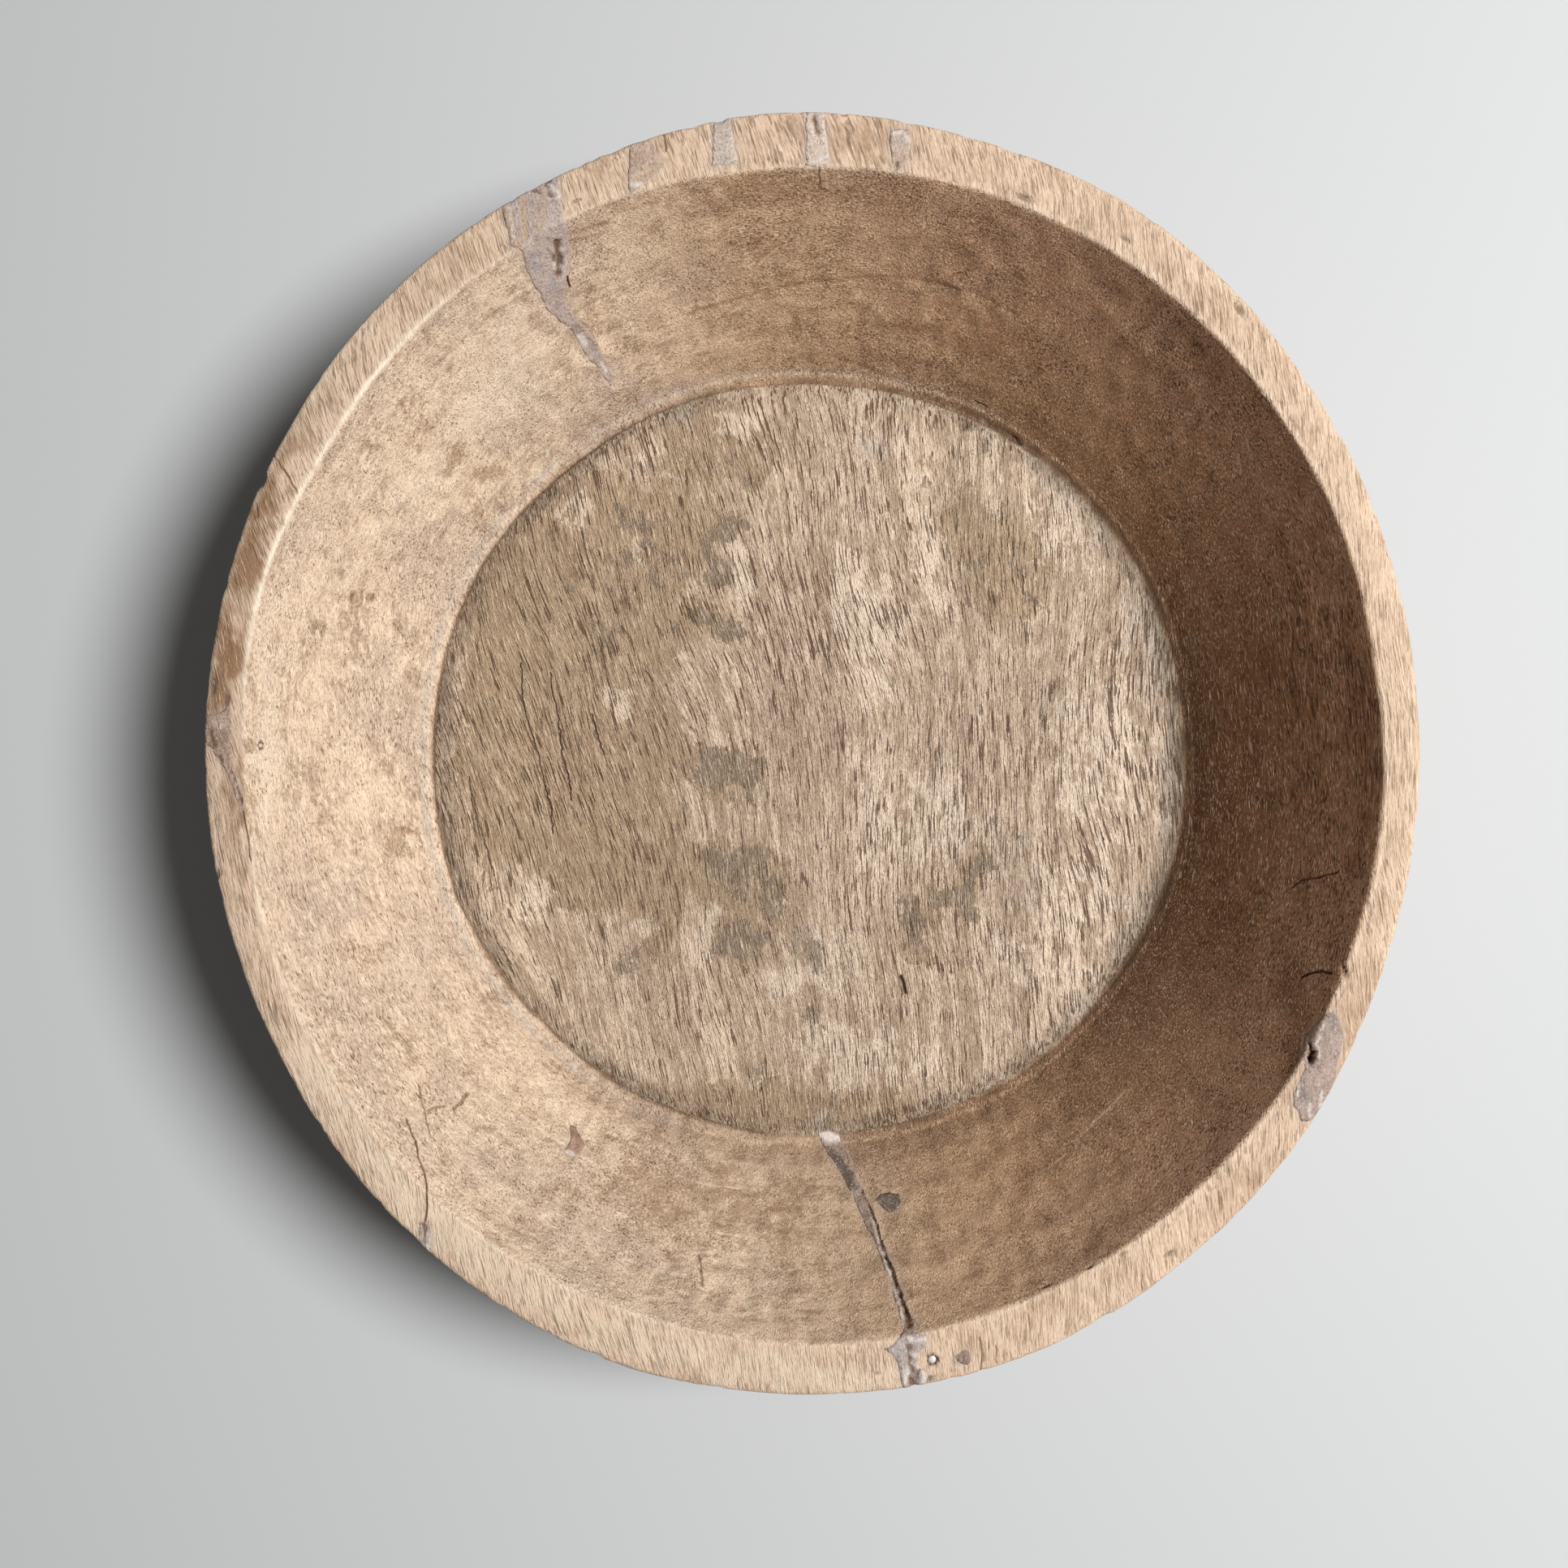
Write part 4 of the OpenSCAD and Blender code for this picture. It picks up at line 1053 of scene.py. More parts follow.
# Marks on the fillers: photo pixels, half width in millimetres, height, tone.
# Tones: 0 pale crumb, 1 red-brown hollow, 2 wood smear, 3 blue-grey.
FILLER_MARKS = {
    "upper_split_filler": [
        ([(686, 300), (690, 318), (690, 340)], 1.5, -1.7, 1), ([(680, 310), (683, 322)], 0.8, -0.6, 1),
        ([(695, 335), (694, 330)], 0.9, 0.5, 0), ([(680, 309), (682, 313)], 0.7, 0.4, 0),
        ([(693, 342), (694, 339)], 0.8, 0.5, 0), ([(683, 325), (682, 331)], 0.7, 0.4, 0),
        ([(696, 320), (698, 326)], 0.7, 0.3, 0), ([(692, 308), (693, 311)], 0.6, 0.4, 0),
        ([(643, 236), (645, 262), (647, 292)], 1.4, -0.05, 2), ([(628, 255), (632, 292)], 0.5, 0.1, 0),
        ([(622, 250), (630, 285), (640, 306)], 1.3, 0.0, 2),
        ([(668, 226), (670, 262), (668, 286)], 0.9, 0.0, 2), ([(658, 240), (660, 300)], 0.5, 0.05, 2),
        ([(676, 225), (690, 240)], 0.6, 0.2, 0), ([(678, 245), (688, 242)], 0.5, 0.2, 0),
        ([(676, 236), (680, 245)], 0.7, -0.6, 1), ([(672, 228), (674, 222)], 0.8, -0.9, 1),
        ([(657, 234), (664, 236)], 0.9, -0.5, 1), ([(697, 283), (700, 305), (697, 318)], 1.3, 0.1, 3),
        ([(655, 315), (662, 330)], 2.4, -0.15, 3), ([(680, 345), (684, 356)], 1.6, -0.1, 3),
        ([(727, 448), (733, 445)], 0.7, -0.3, 1), ([(740, 447), (748, 460)], 0.6, 0.2, 0),
        ([(715, 415), (722, 425)], 1.4, 0.1, 0),
    ],
    "lower_split_filler": [
        ([(1009, 1397), (1018, 1402), (1031, 1403)], 2.6, 0.45, 0),
        ([(1013, 1394), (1024, 1397)], 1.6, 0.3, 0), ([(1044, 1444), (1049, 1447)], 1.2, -0.3, 3),
        ([(1020, 1416), (1040, 1440), (1050, 1462)], 2.6, -0.1, 3),
        ([(1064, 1466), (1072, 1484), (1078, 1500)], 1.0, -1.3, 1),
        ([(1078, 1500), (1083, 1512)], 0.8, -1.0, 1),
        ([(1083, 1512), (1087, 1530), (1093, 1548)], 1.3, -1.6, 1),
        ([(1093, 1548), (1101, 1568)], 1.3, -1.6, 1),
        ([(1101, 1568), (1108, 1590), (1116, 1612)], 1.3, -1.6, 1),
        ([(1116, 1612), (1120, 1632)], 1.4, -1.2, 1), ([(1074, 1500), (1082, 1530)], 0.6, 0.35, 0),
        ([(1084, 1538), (1094, 1566)], 0.55, 0.35, 0), ([(1096, 1570), (1104, 1598)], 0.55, 0.3, 0),
        ([(1105, 1602), (1113, 1632)], 0.6, 0.3, 0), ([(1098, 1566), (1100, 1570)], 0.7, 0.3, 0),
        ([(1106, 1585), (1107, 1590)], 0.6, 0.3, 0), ([(1089, 1540), (1091, 1545)], 0.6, 0.3, 0),
        ([(1118, 1628), (1123, 1632)], 1.2, 0.3, 2),
    ],
    "lower_rim_filler": [
        ([(1118, 1648), (1128, 1652), (1140, 1650)], 1.0, 0.3, 0),
        ([(1120, 1660), (1124, 1690)], 1.2, -0.5, 1), ([(1121, 1700), (1127, 1708)], 1.6, -0.8, 1),
        ([(1138, 1690), (1136, 1703)], 1.4, 0.5, 0), ([(1124, 1668), (1128, 1672)], 0.8, 0.4, 0),
        ([(1117, 1690), (1116, 1704)], 1.0, 0.3, 0), ([(1100, 1666), (1112, 1668)], 1.6, -0.2, 3),
        ([(1132, 1688), (1129, 1698)], 0.8, -0.5, 1), ([(1125, 1679), (1131, 1684)], 0.8, 0.3, 0),
    ],
    "right_rim_filler": [
        ([(1641, 1252), (1642, 1262)], 2.2, -0.1, 3), ([(1628, 1345), (1626, 1362)], 0.6, 0.2, 0),
        ([(1600, 1335), (1598, 1350)], 0.6, 0.2, 0), ([(1614, 1360), (1613, 1376)], 0.6, 0.2, 0),
        ([(1624, 1290), (1625, 1302)], 0.7, 0.3, 0), ([(1632, 1262), (1622, 1285)], 0.6, 0.1, 0),
        ([(1606, 1290), (1604, 1315)], 1.4, -0.2, 2), ([(1605, 1340), (1610, 1355)], 1.6, 0.0, 3),
    ],
    "left_rim_filler": [
        ([(285, 945), (290, 962)], 0.9, -0.9, 1), ([(292, 965), (297, 988)], 0.9, -0.9, 1),
        ([(290, 955), (292, 966)], 0.7, 0.5, 0), ([(272, 893), (271, 897)], 0.7, 0.4, 0),
        ([(260, 900), (263, 922)], 1.2, -0.4, 1), ([(270, 932), (273, 938)], 0.8, -0.5, 1),
    ],
    "corner_crack_filler": [
        ([(522, 1508), (524, 1530)], 0.9, -0.6, 1), ([(526, 1520), (527, 1540)], 0.8, 0.2, 0),
    ],
    "rim_plug_1": [
        ([(777, 226), (793, 230)], 1.4, 0.3, 0), ([(780, 222), (818, 203)], 1.2, -0.3, 2),
    ],
    "rim_plug_2": [
        ([(893, 138), (894, 143)], 1.0, 0.3, 0), ([(882, 165), (900, 158)], 0.5, -0.15, 2),
        ([(880, 178), (902, 170)], 0.5, -0.15, 2), ([(879, 190), (904, 183)], 0.5, -0.15, 2),
    ],
    "rim_plug_3": [
        ([(1003, 144), (1005, 156), (1008, 165)], 0.8, -1.0, 1),
        ([(996, 192), (1018, 180)], 0.5, -0.15, 2), ([(996, 178), (1014, 172)], 0.5, -0.15, 2),
        ([(1000, 200), (1020, 192)], 0.6, 0.2, 0),
    ],
    "rim_plug_4": [
        ([(1100, 163), (1108, 162)], 1.2, 0.4, 0), ([(1116, 165), (1118, 172)], 0.9, 0.4, 0),
        ([(1105, 200), (1105, 210)], 0.9, -0.6, 1), ([(1100, 178), (1118, 172)], 0.5, -0.1, 3),
    ],
    "rim_dent_plug": [
        ([(1180, 1672), (1194, 1668)], 0.8, -0.2, 2),
    ],
    "wall_spot_filler": [
        ([(1090, 1478), (1100, 1480)], 1.2, 0.1, 3),
    ],
    "wall_chip_filler": [
        ([(698, 1418), (706, 1420)], 1.4, 0.2, 0), ([(706, 1392), (712, 1402)], 1.2, -0.2, 2),
    ],
}
# Filling of a ring: spacing, shake and margin of the points inside it, seed of the first ring.
FILLER_STEP, FILLER_SHAKE, FILLER_MARGIN, FILLER_SEED = 1.05, 0.22, 0.55, 500
RING_SCALE = 235.0
# A filler stands this proud of the wood at its edge, slopes over a width, and has a least thickness.
FILLER_PROUD, FILLER_SLOPE, FILLER_THIN = 0.03, 1.4, 0.55
PIT_DEPTH, PIT_TONE = 4.4, 2.0


def triangulated(ring, seed):
    """Points and triangles that fill a ring on the unrolled surface."""
    middle = ring[0, 0]
    flat = np.stack([wrap(ring[:, 0] - middle) * RING_SCALE, ring[:, 1]], axis=1)
    low, high = flat.min(axis=0), flat.max(axis=0)
    nx, ny = np.ceil((high - low) / FILLER_STEP).astype(int) + 1
    gx, gy = np.meshgrid(np.arange(nx), np.arange(ny))
    grid = np.stack([gx.ravel() + 0.5 * (gy.ravel() % 2), gy.ravel()], axis=1) * FILLER_STEP + low
    rng = np.random.default_rng(SEED + seed)
    grid += rng.uniform(-FILLER_SHAKE, FILLER_SHAKE, grid.shape)
    theta, v = grid[:, 0] / RING_SCALE + middle, grid[:, 1]
    far = line_distance(theta, v, np.full(len(v), RING_SCALE), closed(ring))
    keep = inside(theta, v, ring) & (far > FILLER_MARGIN)
    verts = [Vector(p) for p in np.concatenate([flat, grid[keep]])]
    result = delaunay_2d_cdt(verts, [], [list(range(len(ring)))], 1, 1e-5)
    places = np.array([tuple(p) for p in result[0]])
    return places[:, 0] / RING_SCALE + middle, places[:, 1], [list(face) for face in result[2]]


def pit_share(theta, v, radius):
    """How far each point lies in the open pit of the right rim's filler."""
    pit = from_photo(PIT)
    far = line_distance(theta, v, radius, closed(pit))
    return np.where(inside(theta, v, pit), ease(far, 0.0, 1.0), 0.0)


def filler_relief(node, theta, v, points, radius):
    """Height of a filler's face over the wood round it, and its tones."""
    height = swells(points, FILLER_SWELLS)
    ragged = 1.0 + 0.35 * noise(points, 1.9, 63)
    tones = np.zeros((4, len(theta)))
    for pixels, width, lift, tone in FILLER_MARKS[node]:
        line = rough_line(from_photo(pixels), MARK_STEP, MARK_SHAKE, MARK_SEED + pixels[0][0])
        far = line_distance(theta, v, radius, line)
        amount = ease(1.25 - far / (width * ragged), 0.0, 0.8)
        height += lift * amount
        tones[tone] = np.maximum(tones[tone], amount)
    if node == "right_rim_filler":
        deep = pit_share(theta, v, radius)
        height -= PIT_DEPTH * deep
        tones[1] = np.maximum(tones[1], PIT_TONE * deep)
    return height, tones


def shell_faces(triangles, count):
    """Faces of a closed shell: its top, its underside and the strip between them."""
    faces = list(triangles)
    faces += [[a + count for a in reversed(t)] for t in triangles]
    directed = {(t[i], t[(i + 1) % 3]) for t in triangles for i in range(3)}
    for a, b in directed:
        if (b, a) not in directed:
            faces.append([b, a, a + count, b + count])
    return faces


def filler_shell(node, ring, thick, seed):
    """Points, faces and tones of a closed shell that lies in its pocket and ends level with the wood."""
    theta, v, triangles = triangulated(ring, seed)
    plain, normal = plain_points(theta, v), plain_normals(theta, v)
    radius = np.hypot(plain[:, 0], plain[:, 1])
    rise = ease(line_distance(theta, v, radius, closed(ring)), 0.0, FILLER_SLOPE)
    height, tones = filler_relief(node, theta, v, plain, radius)
    tones[2] = np.maximum(tones[2], (1.0 - rise) * ease(noise(plain, 2.2, 64), -0.5, 0.5))
    level = carved(theta, v, plain)
    down = FILLER_THIN + (thick - FILLER_THIN) * ease(rise, 0.0, 0.8)
    top = plain + normal * (level + FILLER_PROUD + rise * height)[:, None]
    low = plain + normal * (level - down)[:, None]
    return [top, low], shell_faces(triangles, len(top)), [tones, tones]


def make_filler(node, rings, thick):
    """A filler as one piece with a closed shell in each of its rings."""
    points, faces, tones = [], [], []
    for number, ring in enumerate(rings):
        start = sum(len(layer) for layer in points)
        shell, shell_sides, shell_tones = filler_shell(node, ring, thick, FILLER_SEED + number)
        points += shell
        tones += shell_tones
        faces += [[corner + start for corner in face] for face in shell_sides]
    piece = mesh_object(node + "_piece", np.concatenate(points), faces)
    outward(piece)
    paint(piece, "tone", *np.concatenate(tones, axis=1))
    return piece


def outward(piece):
    """Turns a closed mesh's faces so that they all look out."""
    form = bmesh.new()
    form.from_mesh(piece.data)
    bmesh.ops.recalc_face_normals(form, faces=form.faces)
    form.to_mesh(piece.data)
    form.free()


LATHE_STEPS, LATHE_WOBBLE, LATHE_SEED = 40, 0.025, 7


def lathe(name, outline, place, axis):
    """Closed turned form about an axis; outline gives radius and height pairs from the top down."""
    axis = Vector(axis).normalized()
    side = axis.orthogonal().normalized()
    other = axis.cross(side)
    points, faces = [], []
    rng = np.random.default_rng(SEED + LATHE_SEED)
    for r, z in outline:
        middle = Vector(place) + axis * z
        for i in range(LATHE_STEPS):
            angle = TURN * i / LATHE_STEPS
            bent = r * (1 + LATHE_WOBBLE * rng.uniform(-1, 1))
            points.append(middle + side * (bent * math.cos(angle)) + other * (bent * math.sin(angle)))
    for row in range(len(outline) - 1):
        for i in range(LATHE_STEPS):
            j = (i + 1) % LATHE_STEPS
            a, b = row * LATHE_STEPS, (row + 1) * LATHE_STEPS
            faces.append([a + i, a + j, b + j, b + i])
    faces.append(list(range(LATHE_STEPS)))
    faces.append([(len(outline) - 1) * LATHE_STEPS + i for i in reversed(range(LATHE_STEPS))])
    piece = mesh_object(name, np.array([tuple(p) for p in points]), faces)
    outward(piece)
    return piece


# Radius and height of the nail and the pin from the top down, and how high their heads stand.
NAIL_OUTLINE = [
    (0.25, 0.12), (0.7, 0.10), (1.05, 0.02), (1.35, -0.12), (1.58, -0.34), (1.68, -0.6), (1.62, -0.95),
    (1.3, -1.15), (0.92, -1.25), (0.9, -6.0), (0.86, -11.0), (0.5, -12.8), (0.1, -13.6),
]
PIN_OUTLINE = [
    (0.2, 0.28), (0.55, 0.22), (0.85, 0.06), (1.02, -0.2), (1.08, -0.6), (1.08, -5.0), (1.0, -9.2),
    (0.4, -9.8),
]
NAIL_TOP, PIN_TOP = -0.42, -0.1


def make_driven(name, place, outline, top):
    """A nail or pin driven straight into the wood at a place on the unrolled surface."""
    theta, v = np.array([place[0]]), np.array([place[1]])
    plain, normal = plain_points(theta, v), plain_normals(theta, v)
    head = plain + normal * (carved(theta, v, plain) + top)[:, None]
    return lathe(name, outline, head[0], normal[0])


class Shader:
    """Short names for making a material's nodes."""

    def __init__(self, name):
        self.material = bpy.data.materials.new(name)
        self.material.use_nodes = True
        self.tree = self.material.node_tree
        self.tree.nodes.clear()
        self.output = self.node("ShaderNodeOutputMaterial")
        self.body = self.node("ShaderNodeBsdfPrincipled")
        self.tree.links.new(self.body.outputs[0], self.output.inputs[0])

    def node(self, kind, **settings):
        """A new node with its settings."""
        made = self.tree.nodes.new(kind)
        for key, value in settings.items():
            setattr(made, key, value)
        return made

    def feed(self, socket, value):
        """Links a socket to another one, or sets its value."""
        if isinstance(value, bpy.types.NodeSocket):
            self.tree.links.new(value, socket)
        elif isinstance(value, tuple) and len(value) == 3 and socket.type == "RGBA":
            socket.default_value = (*value, 1.0)
        else:
            socket.default_value = value

    def fed(self, made, values):
        """First output of a node whose inputs take the values in turn."""
        for socket, value in zip(made.inputs, values):
            self.feed(socket, value)
        return made.outputs[0]

    def math(self, operation, *values, clamp=False):
        return self.fed(self.node("ShaderNodeMath", operation=operation, use_clamp=clamp), values)

    def times(self, a, b, clamp=False):
        return self.math("MULTIPLY", a, b, clamp=clamp)

    def vector(self, operation, *values):
        return self.fed(self.node("ShaderNodeVectorMath", operation=operation), values)

    def joined(self, *values):
        """Vector made of up to three numbers."""
        return self.fed(self.node("ShaderNodeCombineXYZ"), values)

    def parted(self, vector):
        """The three numbers of a vector."""
        made = self.node("ShaderNodeSeparateXYZ")
        self.feed(made.inputs[0], vector)
        return made.outputs

    def scaled(self, vector, sizes):
        """Coordinates in which one unit is as long as the sizes, in millimetres."""
        return self.vector("MULTIPLY", vector, tuple(1.0 / s for s in sizes))

    def step(self, *values):
        """Smooth step of a value from low to high; it gives 0 to 1 or the two numbers after them."""
        return self.fed(self.node("ShaderNodeMapRange", interpolation_type="SMOOTHSTEP"), values)

    def noise(self, vector, detail=2.0, roughness=0.5):
        made = self.node("ShaderNodeTexNoise")
        settings = {"Vector": vector, "Scale": 1.0, "Detail": detail, "Roughness": roughness}
        for key, value in settings.items():
            self.feed(made.inputs[key], value)
        return made.outputs["Fac"]

    def mix(self, low, high, share, blend="MIX"):
        made = self.node("ShaderNodeMix", data_type="RGBA", blend_type=blend)
        self.feed(made.inputs["Factor"], share)
        self.feed(made.inputs[6], low)
        self.feed(made.inputs[7], high)
        return made.outputs[2]

    def lay(self, under, over, mask, share):
        """A colour laid over another by a mask and a share of it."""
        return self.mix(under, over, self.times(mask, share))

    def masks(self, name):
        """The four values that are painted on a mesh under a name."""
        made = self.node("ShaderNodeAttribute", attribute_name=name)
        parts = self.node("ShaderNodeSeparateColor")
        self.tree.links.new(made.outputs["Color"], parts.inputs[0])
        return parts.outputs[0], parts.outputs[1], parts.outputs[2], made.outputs["Alpha"]

    def place(self):
        """Place on the object in millimetres."""
        made = self.node("ShaderNodeTexCoord")
        return self.vector("MULTIPLY", made.outputs["Object"], (1000.0, 1000.0, 1000.0))

    def bump(self, height, distance, strength=1.0, under=None):
        made = self.node("ShaderNodeBump")
        made.inputs["Strength"].default_value = strength
        made.inputs["Distance"].default_value = distance * MM
        self.feed(made.inputs["Height"], height)
        if under is not None:
            self.feed(made.inputs["Normal"], under)
        return made.outputs[0]

    def finish(self, colour, roughness, normal, **values):
        self.feed(self.body.inputs["Base Color"], colour)
        self.feed(self.body.inputs["Roughness"], roughness)
        self.feed(self.body.inputs["Normal"], normal)
        for key, value in values.items():
            self.body.inputs[key.replace("_", " ")].default_value = value
        return self.material


def grain_place(s, place):
    """Coordinates that follow the wood's fibres: across, along and through the plank."""
    x, y, z = s.parted(place)
    lean = s.step(x, -110.0, 80.0, 0.27, 0.07)
    drift = s.noise(s.scaled(place, (75.0, 120.0, 75.0)), 1.0)
    drift = s.math("MULTIPLY_ADD", drift, 26.0, -13.0)
    across = s.math("MULTIPLY_ADD", y, lean, x)
    return s.joined(s.math("ADD", across, drift), y, z)


# Colours of the wood: floor, wall, rim, outside, then the marks on all of them.
STRAW_BRIGHT = (0.88, 0.73, 0.57)
STRAW_LIGHT = (0.72, 0.56, 0.415)
STRAW_DEEP = (0.44, 0.32, 0.222)
SKIN_LIGHT = (0.465, 0.332, 0.208)
SKIN_DEEP = (0.285, 0.199, 0.122)
FLOOR_DUSK = (0.38, 0.262, 0.185)
FLOOR_GREY = (0.54, 0.47, 0.40)
CRUST_PALE = (0.37, 0.285, 0.205)
CRUST_DARK = (0.15, 0.112, 0.08)
# Dark grey of the floor's edge band, on the left painted shade of the rolled edge.
EDGE_GREY_AND_SHADE = (0.21, 0.17, 0.125)
WALL_CREAM = (0.85, 0.71, 0.52)
WALL_LIGHT = (0.79, 0.60, 0.44)
WALL_DEEP = (0.35, 0.235, 0.158)
# Painted shade: tan laid over the walls as they turn from the lamp.
WALL_SHADE_TAN = (0.90, 0.83, 0.74)
WALL_LILAC = (0.60, 0.455, 0.355)
WALL_BROWN = (0.34, 0.20, 0.11)
# Painted shade on the wall that faces away from the lamp, near its foot and near its mouth.
SHADE_LOW = (0.325, 0.138, 0.037)
SHADE_HIGH = (0.45, 0.212, 0.115)
# Painted shade at the foot of the wall and on its side away from the lamp, with two dark patches.
FOOT_SHADE_AND_PATCH_TINT = (0.38, 0.27, 0.18)
LEDGE_GREY = (0.46, 0.415, 0.365)
WALL_PALE = (0.84, 0.68, 0.52)
FLECK_TINT = (0.38, 0.30, 0.23)
RIM_PALE = (0.74, 0.59, 0.435)
RIM_LIGHT = (0.70, 0.51, 0.37)
RIM_DEEP = (0.45, 0.30, 0.195)
# Brown of the rim's stains, also painted shade on the left rim's rolled outer edge.
RIM_BROWN_AND_SHADE = (0.24, 0.115, 0.05)
OUT_LIGHT = (0.50, 0.345, 0.225)
OUT_DEEP = (0.30, 0.192, 0.118)
PORE = (0.10, 0.052, 0.025)
FIBRE_DARK = (0.25, 0.155, 0.085)
CRACK_DARK = (0.05, 0.024, 0.013)
WORN = (0.90, 0.74, 0.56)
# Pale of worn edges, also a painted highlight where they face the lamp.
ARRIS_PALE_AND_HIGHLIGHT = (0.90, 0.75, 0.58)
# Painted shadow colour in the groove round the floor.
GROOVE_SHADOW_DARK = (0.12, 0.068, 0.036)
HOLLOW_BROWN = (0.15, 0.082, 0.048)
PALE_CRUMB = (0.72, 0.64, 0.58)
SMEAR = (0.50, 0.395, 0.33)

# Noises of the wood: sizes across, along and through the grain in millimetres, detail, roughness.
WOOD_NOISES = {
    "patch": ((7.0, 11.0, 8.0), 6.0, 0.68),
    "mottle": ((15.0, 20.0, 15.0), 5.0, 0.62),
    "clouds": ((46.0, 58.0, 46.0), 2.0, 0.55),
    "fibre": ((0.5, 8.0, 0.5), 2.0, 0.6),
    "pore": ((0.6, 12.0, 0.6), 1.0, 0.5),
    "bands": ((3.6, 110.0, 3.6), 3.0, 0.6),
    "strand": ((0.9, 14.0, 3.0), 3.0, 0.62),
    "fuzz": ((0.9, 1.6, 0.9), 2.0, 0.6),
    "fleck": ((0.8, 3.4, 0.8), 2.0, 0.55),
}


def blend(s, *shares):
    """Sum of textures, each with its share."""
    total = 0.0
    for texture, share in shares:
        total = s.math("MULTIPLY_ADD", texture, share, total)
    return total


def wood_noises(s):
    """The wood's noises by name, on coordinates that follow its wavy grain."""
    grain = grain_place(s, s.place())
    wave = s.noise(s.scaled(grain, (2.4, 5.0, 2.4)), 1.0)
    bent = s.vector("ADD", grain, s.joined(s.math("MULTIPLY_ADD", wave, 0.7, -0.35)))
    made = {name: s.noise(s.scaled(bent, sizes), *rest) for name, (sizes, *rest) in WOOD_NOISES.items()}
    made["streak"] = s.noise(s.scaled(round_place(s, 0.0), (24.0, 2.4, 2.4)), 3.0, 0.6)
    made["stroke"] = s.noise(s.scaled(round_place(s, 0.6), (11.0, 2.6, 2.6)), 4.0, 0.68)
    return SimpleNamespace(**made)


def round_place(s, slant):
    """Coordinates round the bowl, out from its middle and up; they start on its right."""
    x, y, z = s.parted(s.vector("MULTIPLY", s.place(), (-1.0, -1.0, 1.0)))
    around = s.times(s.math("ARCTAN2", y, x), MOUTH_MEAN)
    out = s.math("SQRT", s.math("MULTIPLY_ADD", x, x, s.times(y, y)))
    return s.joined(around, s.math("MULTIPLY_ADD", around, slant, out), z)


WOOD_MASKS = {
    "zone": ("floor", "wall", "rim", "out"),
    "tint": ("crust", "pale", "grey", "brown"),
    "wear_and_painted_light": ("arris", "dark", "groove", "shade"),
    "mark": ("scratch", "seam", "edge", "skin"),
    "form": ("hollow", "rise", "foot", "ledge"),
}


def wood_masks(s):
    """The masks painted on the bowl, by name."""
    found = {part: mask for layer, parts in WOOD_MASKS.items() for part, mask in zip(parts, s.masks(layer))}
    return SimpleNamespace(**found)


def floor_colour(s, n, m, crust, grey, brown):
    """Straw-coloured floor under flakes of old skin, stains and crust, with a dark grey band at its edge that
    on the left is painted shade.
    """
    straw = s.mix(STRAW_DEEP, STRAW_LIGHT, s.step(blend(s, (n.bands, 0.5), (n.patch, 0.5)), 0.42, 0.58))
    flake = s.step(blend(s, (n.patch, 2.2), (m.pale, 0.8), (n.fuzz, 0.4)), 1.64, 1.76)
    old = s.step(blend(s, (m.skin, 2.0), (n.patch, 3.0), (n.fuzz, 0.5)), 2.69, 2.81)
    skin_tone = s.step(blend(s, (n.clouds, 0.3), (n.fuzz, 0.4), (n.fibre, 0.3)), 0.38, 0.60)
    straw = s.lay(straw, s.mix(SKIN_DEEP, SKIN_LIGHT, skin_tone), old, 0.85)
    straw = s.lay(straw, FLOOR_DUSK, brown, 0.55)
    straw = s.lay(straw, STRAW_BRIGHT, flake, 0.55)
    straw = s.lay(straw, FLOOR_GREY, grey, 0.55)
    stain = s.mix(CRUST_DARK, CRUST_PALE, s.step(blend(s, (n.fuzz, 0.6), (n.fibre, 0.4)), 0.40, 0.62))
    straw = s.lay(straw, stain, crust, 0.85)
    # Dark grey band at the floor's edge, on the left painted shade of the rolled edge.
    return s.lay(straw, EDGE_GREY_AND_SHADE, m.edge, 0.85)


def wall_colour(s, n, m, grey, pale, brown):
    """Wall with strokes and streaks round the bowl, with painted shade on the side away from the lamp, at its
    foot and in its gouge hollows.
    """
    # Painted shade: the gouge hollows are a little darker than the ridges between them.
    tone = blend(s, (n.stroke, 0.4), (n.mottle, 0.35), (n.streak, 0.25), (m.hollow, -0.05))
    wall = s.mix(WALL_DEEP, WALL_LIGHT, s.step(tone, 0.31, 0.52))
    lilac = s.math("MAXIMUM", s.step(n.clouds, 0.48, 0.64, 0.0, 0.6), s.times(grey, 0.9))
    wall = s.mix(wall, WALL_LILAC, lilac)
    cream = s.step(blend(s, (n.streak, 0.35), (n.stroke, 0.65)), 0.52, 0.62, 0.0, 0.8)
    wall = s.mix(wall, WALL_CREAM, cream)
    wall = s.lay(wall, WALL_PALE, pale, 0.7)
    # Painted shade: tan over the top, bottom and right walls, by their turn from the lamp.
    wall = s.mix(wall, WALL_SHADE_TAN, s.step(m.shade, 0.0, 0.35), "MULTIPLY")
    # Brown stains, with painted shade below the mouth at the top right.
    wall = s.lay(wall, WALL_BROWN, brown, 0.62)
    # Painted shade: dark brown on the wall that faces away from the lamp, darkest at its foot.
    wall = s.lay(wall, s.mix(SHADE_LOW, SHADE_HIGH, m.rise), m.shade, 0.86)
    # Painted shade at the foot of the wall and up the side away from the lamp, with two dark patches by the
    # pit.
    wall = s.mix(wall, FOOT_SHADE_AND_PATCH_TINT, m.foot, "MULTIPLY")
    wall = s.lay(wall, LEDGE_GREY, m.ledge, 0.5)
    flecks = s.step(blend(s, (n.fleck, 1.0), (n.patch, -0.3), (n.clouds, -0.2)), 0.06, 0.15, 1.0, 0.0)
    return s.mix(wall, FLECK_TINT, flecks, "MULTIPLY")


